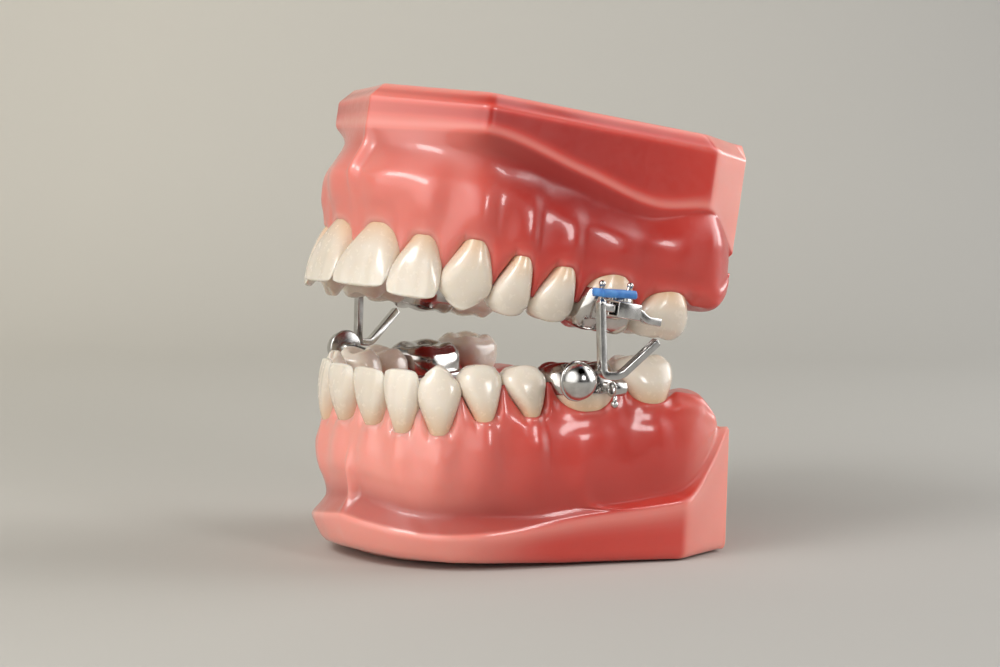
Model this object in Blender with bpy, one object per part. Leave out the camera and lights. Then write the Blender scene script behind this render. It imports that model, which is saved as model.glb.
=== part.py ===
"""Dental study model with a herbst type jaw appliance.

Lower jaw stands level on its flat base. +Z is up, -Y is the front of the mouth and +X is the
patient's left. Lengths below are in millimetres and are turned into metres when a mesh is made.
The upper jaw is drawn closed on the lower one and is then swung open about the jaw hinge line.
"""

import math

import bmesh
import bpy
import numpy as np

# Overall
bite_z = 30.8            # height of the biting plane above the foot of the lower base
fit_gap = 0.3            # clear space kept between any two pieces
frame_y = 26.0           # the frame's origin lies this far behind the lower front teeth
open_deg = 10.2          # how far the upper jaw stands open
hinge_y, hinge_z = 64.0, 31.0
overjet = 2.8            # the upper teeth stand this far in front of the lower ones

# Teeth, from the midline back: width along the arch, depth, height of the gum line above the
# bite, reach of the tip past the bite plane, lean of the crown towards the lip in degrees
upper_teeth = {
    "central_incisor": dict(kind="incisor", wide=11.0, deep=7.2, gum=10.7, tip=-0.1, lean=23),
    "lateral_incisor": dict(kind="incisor", wide=8.3, deep=6.4, gum=9.6, tip=0.3, lean=17),
    "canine": dict(kind="canine", wide=8.4, deep=8.0, gum=10.0, tip=0.6, lean=3),
    "first_premolar": dict(kind="premolar", wide=6.8, deep=9.0, gum=8.7, tip=0.2, lean=-2),
    "second_premolar": dict(kind="premolar", wide=7.5, deep=9.0, gum=8.1, tip=0.1, lean=-2),
    "first_molar": dict(kind="molar", wide=10.7, deep=11.0, gum=8.0, tip=0.3, lean=-3),
    "second_molar": dict(kind="molar", wide=10.5, deep=10.8, gum=6.9, tip=0.0, lean=-3),
}
lower_teeth = {
    "central_incisor": dict(kind="incisor", wide=7.6, deep=6.0, gum=9.3, tip=-0.5, lean=9),
    "lateral_incisor": dict(kind="incisor", wide=6.3, deep=6.3, gum=10.0, tip=-0.4, lean=5),
    "canine": dict(kind="canine", wide=7.1, deep=7.6, gum=10.2, tip=0.1, lean=2),
    "first_premolar": dict(kind="premolar", wide=7.1, deep=7.8, gum=8.1, tip=0.1, lean=-4),
    "second_premolar": dict(kind="premolar", wide=7.6, deep=8.4, gum=7.6, tip=-0.2, lean=-6),
    "first_molar": dict(kind="molar", wide=12.4, deep=10.4, gum=6.9, tip=-0.2, lean=-8),
    "second_molar": dict(kind="molar", wide=10.1, deep=10.0, gum=6.2, tip=0.6, lean=-8),
}

# Bezier handles of the line the cheek faces of the teeth follow, left half
upper_arch = ((0.0, -2.4), (14.5, -3.0), (26.0, 9.0), (30.3, 47.0))
lower_arch = ((0.0, -0.9), (17.0, -1.4), (21.1, 6.6), (28.6, 44.0))

# Bases. Each knot is (tooth count from the midline, x, y)
upper_height = 32.3      # bite plane to the top of the upper base
upper_bevel = 2.3
upper_wall = ((0, 0.0, -0.3), (2.5, 20.0, 7.6), (7.0, 29.6, 46.3), (8, 26.0, 55.6))
upper_rim_z = ((0, 25.2), (2.5, 25.9), (4.5, 22.2), (6.0, 19.4), (7.0, 20.6), (8, 15.0))
lower_wall = ((0, 0.0, -2.4), (0.5, 5.0, -1.9), (1, 10.0, -0.4), (1.5, 14.2, 2.0), (2, 17.4, 5.2),
              (2.5, 20.2, 9.8), (3, 22.2, 15.4), (6.75, 30.8, 42.6), (8, 28.0, 53.6))
lower_foot = ((0, 0.0, 5.4), (1, 6.0, 7.0), (2, 12.2, 12.4), (3, 17.4, 20.4), (6.75, 29.0, 42.0),
              (8, 25.6, 51.2))
lower_rim_z = ((0, 23.3), (2, 25.2), (4.5, 23.0), (6.75, 21.2), (8, 13.5))
# The gum body under the teeth: tooth count, how far its foot and the fold stand out from the
# tooth line, and how far the fold lies from the trimmed rim
upper_body = ((0, -2.1, -3.8, 3.4), (2.5, -1.7, -3.4, 3.4), (4, -0.9, -2.6, 3.4),
              (5.5, -0.9, -2.6, 3.2), (6.6, 0.3, -1.6, 2.0), (7, 0.4, -1.3, 1.8), (8, 0.0, 0.0, 1.8))
lower_body = ((0, -1.0, -2.8, 3.0), (2.5, -0.7, -2.4, 2.8), (3.5, -0.2, -1.6, 2.2),
              (4.5, 0.4, -0.7, 1.6), (6.5, 0.9, -0.2, 1.4), (7, 0.8, -0.2, 1.4), (8, 0.0, 0.0, 1.4))
palate_depth = 17.0
tongue_depth = 19.5
heel_crest = 4.8         # how far the gum behind the last tooth lies from the bite plane
heel_long = 8.4          # length of the gum behind the last tooth

# Appliance
crown_wall = 0.45
crown_above_gum = 2.4    # bare tooth left between the gum and the steel crown
wire = 1.25              # side of the square elbow wire
tube_x, tube_z = 31.2, 33.5          # centre line of the elbow's tube, upper jaw closed
tube_front, tube_back = 28.0, 32.6
tube_skin = 0.35
elbow_leg_y = 25.2       # the leg hangs this far back, just behind the arm's button
hook_x, hook_y = 31.6, 29.9
band_z, band_tall, band_thick = 36.6, 1.4, 0.7
arm_round = 2.2          # diameter of the lower arm
button_x, button_y, button_z = 29.95, 20.15, 29.6
button_round = 6.2       # diameter of the domed stop on the arm
button_rim, button_domed = 0.6, 2.1
arch_tube_at = (27.5, 30.3, 27.6)
arch_wire = 1.0          # diameter of the lower lingual arch

station_split = 3        # gum sections per tooth
tooth_sides = 10

bpy.ops.object.select_all(action="DESELECT")
for old in list(bpy.data.objects):
    bpy.data.objects.remove(old, do_unlink=True)


def material(name, colour, metallic=0.0, rough=0.4):
    made = bpy.data.materials.new(name)
    made.use_nodes = True
    node = made.node_tree.nodes["Principled BSDF"]
    node.inputs["Base Color"].default_value = (*colour, 1.0)
    node.inputs["Metallic"].default_value = metallic
    node.inputs["Roughness"].default_value = rough
    return made


def to_frame(points):
    """Millimetres of the drawing to metres of the part's own frame."""
    return (np.asarray(points, float) - (0.0, frame_y, 0.0)) * 0.001


def swing_open(points):
    """Carries points of the closed upper jaw to where the photograph shows them."""
    turn = math.radians(open_deg)
    moved = np.array(points, float)
    y = moved[..., 1] - overjet - hinge_y
    z = moved[..., 2] - hinge_z
    moved[..., 1] = hinge_y + y * math.cos(turn) + z * math.sin(turn)
    moved[..., 2] = hinge_z - y * math.sin(turn) + z * math.cos(turn)
    return moved


def solid(name, points, faces, paint, parent=None, flip=False, smooth=40.0):
    """One mesh object, doubled points joined, faces turned outwards."""
    points = np.array(points, float)
    if flip:
        points = points * (-1.0, 1.0, 1.0)
    mesh = bpy.data.meshes.new(name)
    mesh.from_pydata([tuple(p) for p in to_frame(points)], [], faces)
    work = bmesh.new()
    work.from_mesh(mesh)
    bmesh.ops.remove_doubles(work, verts=work.verts, dist=1e-6)
    bmesh.ops.dissolve_degenerate(work, edges=work.edges, dist=1e-7)
    bmesh.ops.recalc_face_normals(work, faces=work.faces)
    work.to_mesh(mesh)
    work.free()
    mesh.materials.append(paint)
    made = bpy.data.objects.new(name, mesh)
    bpy.context.scene.collection.objects.link(made)
    for polygon in mesh.polygons:
        polygon.use_smooth = True
    mesh.set_sharp_from_angle(angle=math.radians(smooth))
    if parent is not None:
        made.parent = parent
        made.matrix_parent_inverse = parent.matrix_world.inverted()
    return made


def ring_faces(count, rings, wrap=True, cap_start=True, cap_end=True):
    """Quads between equal rings that follow one another, with the end rings closed."""
    faces = []
    for i in range(rings - 1):
        for j in range(count if wrap else count - 1):
            k = (j + 1) % count
            faces.append((i * count + j, i * count + k, (i + 1) * count + k, (i + 1) * count + j))
    if cap_start:
        faces.append(tuple(range(count - 1, -1, -1)))
    if cap_end:
        faces.append(tuple(range((rings - 1) * count, rings * count)))
    return faces


def bezier(handles, t):
    p = np.array(handles, float)
    t = np.asarray(t, float)[..., None]
    return ((1 - t) ** 3 * p[0] + 3 * t * (1 - t) ** 2 * p[1]
            + 3 * t * t * (1 - t) * p[2] + t ** 3 * p[3])


class Jaw:
    """The arch line of one jaw with its teeth laid along it, left half."""

    def __init__(self, name, handles, teeth, direction):
        self.name, self.teeth, self.direction = name, teeth, direction
        ts = np.linspace(0.0, 1.0, 801)
        self.line = bezier(handles, ts)
        steps = np.linalg.norm(np.diff(self.line, axis=0), axis=1)
        self.run = np.concatenate([[0.0], np.cumsum(steps)])
        widths = [tooth["wide"] for tooth in teeth.values()]
        self.contacts = np.concatenate([[0.0], np.cumsum(widths)])
        self.order = list(teeth)

    def on_line(self, s):
        """Point at a length along the line: mirrored before the midline, straight past the end."""
        s = np.asarray(s, float)
        x = np.interp(np.abs(s), self.run, self.line[:, 0]) * np.sign(s)
        y = np.interp(np.abs(s), self.run, self.line[:, 1])
        end = self.line[-1] - self.line[-2]
        past = np.maximum(s - self.run[-1], 0.0)[..., None] * end / np.linalg.norm(end)
        return np.stack([x, y], -1) + past

    def at(self, s):
        """Point, tangent towards the back and outward normal at a length along the line."""
        tangent = self.on_line(s + 0.4) - self.on_line(s - 0.4)
        tangent = tangent / np.linalg.norm(tangent, axis=-1, keepdims=True)
        return self.on_line(s), tangent, np.stack([tangent[..., 1], -tangent[..., 0]], -1)

    def height(self, h):
        """Distance from the bite plane towards the base, turned into a height."""
        return bite_z + self.direction * h

    def place(self, number, m, b, v):
        """Tooth coordinates (towards the back, towards the cheek, towards the bite)."""
        tooth = self.teeth[self.order[number]]
        centre = 0.5 * (self.contacts[number] + self.contacts[number + 1])
        point, tangent, normal = self.at(centre)
        lean = math.radians(tooth["lean"])
        pivot = tooth["gum"] * 0.55
        out = b * math.cos(lean) + (v - pivot) * math.sin(lean)
        along = pivot + (v - pivot) * math.cos(lean) - b * math.sin(lean) * 0.5
        out = out - 0.53 * tooth["deep"]
        xy = point + np.multiply.outer(m, tangent) + np.multiply.outer(out, normal)
        return np.concatenate([xy, self.height(tooth["gum"] - along)[..., None]], -1)


# Shares of the half width and of the depth from the root end, level -1, to the bite, level 1
profiles = {
    "incisor": dict(level=(-0.18, 0.0, 0.15, 0.4, 0.7, 0.9, 1.0),
                    half=(0.44, 0.60, 0.72, 0.88, 0.99, 0.99, 0.93),
                    cheek=(0.30, 0.46, 0.51, 0.53, 0.45, 0.35, 0.28),
                    tongue=(0.30, 0.49, 0.50, 0.36, 0.10, -0.07, -0.14)),
    "canine": dict(level=(-0.18, 0.0, 0.15, 0.4, 0.7, 0.9, 1.0),
                   half=(0.44, 0.58, 0.70, 0.88, 1.00, 0.90, 0.70),
                   cheek=(0.32, 0.46, 0.51, 0.53, 0.45, 0.30, 0.20),
                   tongue=(0.30, 0.48, 0.50, 0.42, 0.20, 0.05, -0.04)),
    "premolar": dict(level=(-0.3, 0.0, 0.2, 0.5, 0.75, 0.9, 1.0),
                     half=(0.46, 0.58, 0.70, 0.90, 1.00, 0.94, 0.82),
                     cheek=(0.36, 0.48, 0.52, 0.52, 0.46, 0.38, 0.29),
                     tongue=(0.34, 0.44, 0.48, 0.50, 0.46, 0.37, 0.27)),
    "molar": dict(level=(-0.34, 0.0, 0.2, 0.5, 0.75, 0.9, 1.0),
                  half=(0.66, 0.84, 0.90, 0.98, 1.00, 0.95, 0.86),
                  cheek=(0.38, 0.49, 0.53, 0.52, 0.48, 0.42, 0.34),
                  tongue=(0.36, 0.44, 0.48, 0.50, 0.47, 0.41, 0.33)),
}
cusp_count = {"incisor": 0, "canine": 1, "premolar": 2, "molar": 4}


def tooth_skin(tooth, sides, trim_from=None, trim=0.0, grow=0.0, side_gap=0.2):
    """Rings of one tooth from the root end up and over the bite to a single point.

    Everything above the level trim_from is drawn in by trim; grow swells the whole of it.
    """
    kind = tooth["kind"]
    shape = profiles[kind]
    tall = tooth["gum"] + tooth["tip"]
    half = tooth["wide"] / 2 - side_gap
    turn = np.linspace(0.0, 2 * math.pi, sides, endpoint=False) + math.pi / sides
    cos, sin = np.cos(turn), np.sin(turn)
    power = 2 / (2.4 if kind in ("incisor", "canine") else 2.9)
    lobe_m = np.sign(cos) * np.abs(cos) ** power
    lobe_b = np.sign(sin) * np.abs(sin) ** power
    levels = [level for level in shape["level"]]
    taper = 0.42 if kind in ("incisor", "canine") else 0.1
    if trim_from is not None:
        levels = sorted(set(levels) | {trim_from, trim_from + 1e-4})
    rings = []

    def rim(level):
        scale = [np.interp(level, shape["level"], shape[key]) for key in ("half", "cheek", "tongue")]
        cut = trim if trim_from is not None and level > trim_from else 0.0
        m = lobe_m * (scale[0] * half - cut + grow) * (1 - taper * np.maximum(-lobe_b, 0.0))
        cheek = scale[1] * tooth["deep"] - cut + grow
        tongue = scale[2] * tooth["deep"] - cut + grow
        middle, reach = (cheek - tongue) / 2, (cheek + tongue) / 2
        b = middle + lobe_b * max(reach, 0.35)
        share = np.abs(m) / half
        if kind == "incisor":
            drop = 0.5 * share ** 4
        elif kind == "canine":
            drop = 2.6 * share ** 1.2
        elif kind == "premolar":
            drop = 1.7 * share ** 1.5
        else:
            drop = 0.9 * np.cos(turn * 2) ** 2 + 0.5 * (np.abs(sin) > 0.92)
        v = level * tall - drop * max(level, 0.0) ** 3 - (cut if level > 0 else 0.0) * max(level, 0) ** 4
        return m, b, v + (grow if level >= 0.99 else 0.0) - (grow if level < 0 else 0.0)

    for level in levels:
        rings.append(rim(level))
    m, b, v = rings[-1]
    centre = b.mean()
    if cusp_count[kind] < 2:
        rings.append((m * 0.9, centre + (b - centre) * 0.45, v + 0.25))
        rings.append((m * 0, b * 0 + centre, v * 0 + v.max() + 0.3))
    else:
        pit = v.max() - (1.9 if kind == "molar" else 1.5)
        rings.append((m * 0.72, centre + (b - centre) * 0.72, v * 0.72 + (pit + 0.5) * 0.28))
        rings.append((m * 0.36, centre + (b - centre) * 0.36, v * 0.2 + (pit + 0.1) * 0.8))
        rings.append((m * 0, b * 0 + centre, v * 0 + pit))
    return rings


def tooth_points(jaw, number, rings):
    return np.concatenate([jaw.place(number, *ring) for ring in rings])


def gum_station(jaw, u):
    """One closed section of a jaw base, from the midline over the gum and the wall back."""
    upper = jaw.direction > 0
    count = len(jaw.order)
    wall = upper_wall if upper else lower_wall
    foot = lower_foot
    rim = upper_rim_z if upper else lower_rim_z
    heel = max(u - count, 0.0)
    s = np.interp(u, np.arange(count + 1), jaw.contacts) + heel * heel_long
    point, tangent, normal = jaw.at(s)
    middles = np.arange(count) + 0.5
    look = [jaw.teeth[name] for name in jaw.order]
    gum = np.interp(u, middles, [tooth["gum"] for tooth in look])
    deep = np.interp(u, middles, [tooth["deep"] for tooth in look])
    q = 2 * (u - math.floor(min(u, count - 1e-6))) - 1 if u < count else 1.0
    between = min(abs(q), 1.0) ** 2.4
    bulge = (1 - min(abs(q), 1.0) ** 2) * (1.3 if upper else 0.9) * (1 if u < 6 else 0.5)
    blend = min(heel / 0.35, 1.0)
    wx = np.interp(u, [k[0] for k in wall], [k[1] for k in wall])
    wy = np.interp(u, [k[0] for k in wall], [k[2] for k in wall])
    rim_h = np.interp(u, [k[0] for k in rim], [k[1] for k in rim])
    total = upper_height if upper else bite_z
    floor_h = palate_depth if upper else tongue_depth
    back_y = wall[-1][2]
    pivot_y = back_y if u >= count + 0.99 else min(max(point[1], 15.0), back_y - 1.0)
    points = [(0.0, pivot_y, floor_h - (2.0 if upper and u < 3 else 0.0))]

    tuck = (4.0 if upper else 2.6) * heel

    def off(n, h):
        xy = point + normal * (n - tuck)
        y = xy[1] + (back_y - xy[1]) * (blend if u >= count + 0.99 else 0.0)
        points.append((max(xy[0], 0.0), y, h))

    crest = heel_crest + (9.0 if upper else 13.0) * max(heel - 0.5, 0.0) ** 1.4
    inner = point - normal * (deep + 0.9 + tuck)
    pivot = np.array([0.0, pivot_y])
    for share, h in ((0.5, floor_h - 0.6), (0.22, 0.7 * floor_h + 0.3 * (gum + 4.5)),
                     (0.08, gum + 4.5)):
        xy = inner + (pivot - inner) * share
        points.append((xy[0], xy[1], h))
    off(-deep - 0.4 + 0.9 * between, gum * (1 - blend) + (crest + 2) * blend + 0.5 - 1.0 * between)
    off(-0.63 * deep, gum * (1 - blend) + crest * blend - 2.0 * between * (1 - blend))
    off(-0.36 * deep, gum * (1 - blend) + crest * blend - 2.0 * between * (1 - blend))
    off(-0.9 - 0.9 * between, gum * (1 - blend) + (crest + 0.5) * blend - 1.2 * between * (1 - blend))
    off(0.25 - 0.9 * between, gum * (1 - blend) + (crest + 2) * blend + 0.9 - 1.0 * between)
    front = np.interp(u, [0, 2.5, 4], [1.2, 0.8, 0]) if upper else 0.0
    lower_line = (gum + 3.2) * (1 - blend) + (crest + 3.6) * blend
    off(0.2 + bulge * 0.6 - 0.5 * front, lower_line)
    body = upper_body if upper else lower_body
    body_out, fold_out, fold_up = [np.interp(u, [k[0] for k in body], [k[i] for k in body])
                                   for i in (1, 2, 3)]
    fold_h = rim_h - fold_up
    off(body_out + bulge * 0.5, 0.45 * lower_line + 0.55 * fold_h)
    ax, ay = point + normal * (fold_out - tuck)
    pull = 0.25
    points.append((ax + (wx - ax) * pull, ay + (wy - ay) * pull, fold_h + 1.0))
    points.append((ax + (wx - ax) * 0.8, ay + (wy - ay) * 0.8, rim_h - 0.5))
    points.append((wx, wy, rim_h + 0.6))
    if upper:
        inward = np.array([0.0, 24.0]) - (wx, wy)
        inward = inward / np.linalg.norm(inward)
        points.append((wx, wy, total - upper_bevel))
        points.append((max(wx + inward[0] * upper_bevel, 0.0),
                       wy + inward[1] * upper_bevel, total))
    else:
        fx = np.interp(u, [k[0] for k in foot], [k[1] for k in foot])
        fy = np.interp(u, [k[0] for k in foot], [k[2] for k in foot])
        edge = np.interp(u, [0, 2, 4, 8], [2.3, 1.2, 0.5, 0.3])
        points.append((wx * 0.8 + fx * 0.2, wy * 0.8 + fy * 0.2, total - edge))
        points.append((fx, fy, total))
    points.append((0.0, pivot_y, total))
    section = np.array(points, float)
    for i in range(6, len(section) - 1):
        section[i, 2] = max(section[i, 2], section[i - 1, 2] + 0.15)
    section[:, 1] = np.minimum(section[:, 1], back_y - 4.0 * (count + 1 - u))
    if u >= count + 0.99:
        section[:, 1] = back_y
    if u == 0:
        section[:, 0] = 0.0
    section[:, 2] = [jaw.height(h) for h in section[:, 2]]
    return section


def jaw_base(jaw, paint, parent, cutters):
    count = len(jaw.order)
    us = sorted(set([k / station_split for k in range(count * station_split + 1)]
                    + [7.3, 7.65, 8.0, 6.75]))
    left = [gum_station(jaw, u) for u in us]
    right = [section * (-1.0, 1.0, 1.0) for section in left[:0:-1]]
    rows = right + left
    size = len(rows[0])
    points = np.concatenate(rows)
    faces = ring_faces(size, len(rows), wrap=False, cap_start=False, cap_end=False)
    last = (len(rows) - 1) * size
    faces.append(tuple(range(0, size)) + tuple(range(last + size - 1, last - 1, -1)))
    if jaw.direction > 0:
        points = swing_open(points)
    made = solid(jaw.name + "_gum_base", points, faces, paint, parent, smooth=38.0)
    holes = bpy.data.collections.new(jaw.name + "_sockets")
    bpy.context.scene.collection.children.link(holes)
    holes.hide_render = True
    for cutter in cutters:
        holes.objects.link(cutter)
        bpy.context.scene.collection.objects.unlink(cutter)
    cut = made.modifiers.new("sockets", "BOOLEAN")
    cut.operation, cut.solver, cut.operand_type = "DIFFERENCE", "EXACT", "COLLECTION"
    cut.collection = holes
    return made


gum_paint = material("pink_acrylic", (0.78, 0.25, 0.22), rough=0.25)
tooth_paint = material("ivory_resin", (0.86, 0.79, 0.68), rough=0.3)
steel_paint = material("polished_steel", (0.62, 0.61, 0.6), 1.0, 0.18)
band_paint = material("blue_elastic", (0.1, 0.3, 0.62), rough=0.45)

hinge = bpy.data.objects.new("upper_jaw_hinge", None)
hinge.location = to_frame((0.0, hinge_y, hinge_z))
bpy.context.scene.collection.objects.link(hinge)
bpy.context.view_layer.update()

upper = Jaw("upper", upper_arch, upper_teeth, 1.0)
lower = Jaw("lower", lower_arch, lower_teeth, -1.0)
molar = 5                # place of the crowned tooth in the order from the midline


def crown_level(tooth):
    return crown_above_gum / (tooth["gum"] + tooth["tip"])


def make_teeth(jaw, parent):
    cutters = []
    for number, name in enumerate(jaw.order):
        tooth = jaw.teeth[name]
        crowned = number == molar
        trim = dict(trim_from=crown_level(tooth) - fit_gap / tooth["gum"],
                    trim=crown_wall + fit_gap) if crowned else {}
        rings = tooth_skin(tooth, tooth_sides, **trim)
        hole = [ring for ring in tooth_skin(tooth, tooth_sides, grow=fit_gap + 0.02)
                if ring[2].max() < 0.3 * tooth["gum"]]
        m, b, v = hole[-1]
        hole.append((m, b, v * 0 + tooth["gum"] + 4.0))
        for side, flip in (("left", False), ("right", True)):
            for role, skin in (("tooth", rings), ("socket", hole)):
                points = tooth_points(jaw, number, skin)
                if number == 0 and role == "tooth":
                    points[:, 0] = np.maximum(points[:, 0], fit_gap / 2)
                if jaw.direction > 0:
                    points = swing_open(points)
                title = f"{jaw.name}_{side}_{name}"
                faces = ring_faces(tooth_sides, len(skin))
                if role == "socket":
                    made = solid(title + "_socket", points, faces, tooth_paint, None, flip)
                    made.hide_render = True
                    made.display_type = "WIRE"
                    cutters.append(made)
                else:
                    solid(title, points, faces, tooth_paint, parent, flip)
    return cutters


def make_crown(jaw, parent):
    """A thin steel cap: its outside, then its inside back down to the rim."""
    tooth = jaw.teeth[jaw.order[molar]]
    start = crown_level(tooth)
    outer = tooth_skin(tooth, tooth_sides, trim_from=start, trim=0.0)
    inner = tooth_skin(tooth, tooth_sides, trim_from=start, trim=crown_wall)
    first = [i for i, ring in enumerate(outer) if ring[2].max() > 0]
    skip = sum(level <= start + 5e-5 for level in
               sorted(set(profiles["molar"]["level"]) | {start, start + 1e-4}))
    path = outer[skip:] + inner[skip:][::-1]
    for side, flip in (("left", False), ("right", True)):
        points = tooth_points(jaw, molar, path)
        if jaw.direction > 0:
            points = swing_open(points)
        faces = ring_faces(tooth_sides, len(path), cap_start=False, cap_end=False)
        last = (len(path) - 1) * tooth_sides
        for j in range(tooth_sides):
            k = (j + 1) % tooth_sides
            faces.append((last + j, last + k, k, j))
        top = len(outer[skip:]) - 1
        faces = [face for face in faces
                 if not (min(face) >= top * tooth_sides and max(face) < (top + 2) * tooth_sides)]
        solid(f"{jaw.name}_{side}_molar_crown", points, faces, steel_paint, parent, flip)


cutters_lower = make_teeth(lower, None)
cutters_upper = make_teeth(upper, hinge)
make_crown(lower, None)
make_crown(upper, hinge)
jaw_base(lower, gum_paint, None, cutters_lower)
jaw_base(upper, gum_paint, hinge, cutters_upper)


def rounded(points, radius, steps=4):
    """A polyline with each inner corner turned into a short bend."""
    points = [np.array(p, float) for p in points]
    path = [points[0]]
    for before, corner, after in zip(points, points[1:], points[2:]):
        a = corner + (before - corner) / np.linalg.norm(before - corner) * radius
        b = corner + (after - corner) / np.linalg.norm(after - corner) * radius
        for k in range(steps + 1):
            t = k / steps
            path.append((1 - t) ** 2 * a + 2 * t * (1 - t) * corner + t * t * b)
    path.append(points[-1])
    return np.array(path)


def swept(path, outline, sideways=(1.0, 0.0, 0.0), scales=None):
    """Rings of an outline carried along a path, one axis of it kept towards sideways."""
    rings = []
    for i, at in enumerate(path):
        along = path[min(i + 1, len(path) - 1)] - path[max(i - 1, 0)]
        along = along / np.linalg.norm(along)
        side = np.array(sideways) - along * np.dot(sideways, along)
        side = side / np.linalg.norm(side)
        up = np.cross(along, side)
        size = 1.0 if scales is None else scales[i]
        rings.append(at + size * (np.outer(outline[:, 0], side) + np.outer(outline[:, 1], up)))
    return np.concatenate(rings), ring_faces(len(outline), len(path))


def round_outline(radius, sides):
    turn = np.linspace(0, 2 * math.pi, sides, endpoint=False) + math.pi / sides
    return np.stack([radius * np.cos(turn), radius * np.sin(turn)], -1)


def square_outline(side):
    half = side / 2
    return np.array([(half, half), (-half, half), (-half, -half), (half, -half)])


def box(low, high):
    path = np.array([(0.5 * (low[0] + high[0]), low[1], 0.5 * (low[2] + high[2])),
                     (0.5 * (low[0] + high[0]), high[1], 0.5 * (low[2] + high[2]))])
    half = np.array([(high[0] - low[0]) / 2, (high[2] - low[2]) / 2])
    corners = np.array([(1, 1), (-1, 1), (-1, -1), (1, -1)]) * half
    return swept(path, corners)


def rod(start, end, radius, sides=10, sideways=(1.0, 0.0, 0.0)):
    return swept(np.array([start, end], float), round_outline(radius, sides), sideways)


def ball(centre, radius, sides=8):
    path, sizes = [], []
    for k in range(5):
        turn = math.pi * (0.06 + 0.88 * k / 4)
        path.append(np.array(centre) + (0.0, -radius * math.cos(turn), 0.0))
        sizes.append(math.sin(turn))
    return swept(np.array(path), round_outline(radius, sides), scales=sizes)


def built(name, paint, parent, flip, upper_part, base, joined=(), taken=()):
    """One piece from a base shape, shapes joined to it and shapes taken from it."""
    def mesh_of(title, shape, owner):
        points, faces = shape
        return solid(title, swing_open(points) if upper_part else points, faces, paint, owner, flip)
    made = mesh_of(name, base, parent)
    for operation, shapes in (("UNION", joined), ("DIFFERENCE", taken)):
        for k, shape in enumerate(shapes):
            tool = mesh_of(f"{name}_{operation.lower()}_{k}", shape, None)
            tool.hide_render = True
            tool.display_type = "WIRE"
            step = made.modifiers.new(tool.name, "BOOLEAN")
            step.operation, step.solver, step.object = operation, "EXACT", tool
    return made


def swollen_crown(jaw):
    rings = tooth_skin(jaw.teeth[jaw.order[molar]], tooth_sides, grow=fit_gap)
    return tooth_points(jaw, molar, rings), ring_faces(tooth_sides, len(rings))


def upper_side(side, flip):
    lumen = wire / 2 + fit_gap
    outer = lumen + tube_skin
    round_x, round_z, round_r = tube_x - 2.2, tube_z + 2.0, 0.7
    built(f"upper_{side}_elbow_tube", steel_paint, hinge, flip, True,
          box((tube_x - outer, tube_front, tube_z - outer), (tube_x + outer, tube_back, tube_z + outer)),
          [box((26.0, tube_front + 0.3, tube_z - 1.1), (tube_x - lumen - 0.1, tube_back - 0.3, tube_z + 2.2)),
           rod((round_x, tube_front + 0.1, round_z), (round_x, tube_back - 0.1, round_z), round_r),
           rod((hook_x, hook_y, tube_z + lumen + 0.1), (hook_x + 0.2, hook_y + 0.2, band_z + 1.6), 0.42, 8)],
          [box((tube_x - lumen, tube_front - 1, tube_z - lumen), (tube_x + lumen, tube_back + 1, tube_z + lumen)),
           swollen_crown(upper)])
    leg = rounded([(tube_x + 0.3, elbow_leg_y - 0.3, band_z + 1.2),
                   (tube_x + 0.2, elbow_leg_y, tube_z + 0.4),
                   (tube_x + 0.7, elbow_leg_y + 2.0, tube_z - 10.3),
                   (tube_x + 1.3, elbow_leg_y + 4.9, tube_z - 10.0),
                   (tube_x + 2.5, elbow_leg_y + 10.3, tube_z - 3.9)], 1.1)
    stub = np.interp(leg[:, 2], [tube_z + wire / 2, tube_z + wire / 2 + 0.3], [1.0, 0.6])
    bar = rounded([(tube_x + 0.2, elbow_leg_y, tube_z), (tube_x, tube_front - 1.4, tube_z),
                   (tube_x, tube_back + 0.6, tube_z), (tube_x + 0.2, tube_back + 2.0, tube_z - 0.9),
                   (tube_x + 0.2, tube_back + 4.8, tube_z - 0.9)], 0.5, 2)
    built(f"upper_{side}_elbow", steel_paint, hinge, flip, True,
          swept(leg, square_outline(wire), scales=stub), [swept(bar, square_outline(wire))])
    loop = []
    inner = wire * 0.3 * math.sqrt(2) + fit_gap
    ring = inner + band_thick / 2
    ends = ((tube_x + 0.3, elbow_leg_y - 0.25, math.pi), (hook_x + 0.1, hook_y + 0.1, 0.0))
    for x, y, begin in ends:
        for k in range(7):
            turn = begin + math.pi * k / 6
            loop.append((x + ring * math.cos(turn), y + ring * math.sin(turn), band_z))
    loop = np.array(loop)
    rings = []
    for i in range(len(loop)):
        along = loop[(i + 1) % len(loop)] - loop[i - 1]
        out = np.cross(along / np.linalg.norm(along), (0, 0, 1.0))
        for a, b in ((1, 1), (-1, 1), (-1, -1), (1, -1)):
            rings.append(loop[i] + out * a * band_thick / 2 + np.array([0, 0, b * band_tall / 2]))
    faces = ring_faces(4, len(loop), cap_start=False, cap_end=False)
    last = (len(loop) - 1) * 4
    faces += [(last + j, last + (j + 1) % 4, (j + 1) % 4, j) for j in range(4)]
    solid(f"upper_{side}_ligature", swing_open(rings), faces, band_paint, hinge, flip)


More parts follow.
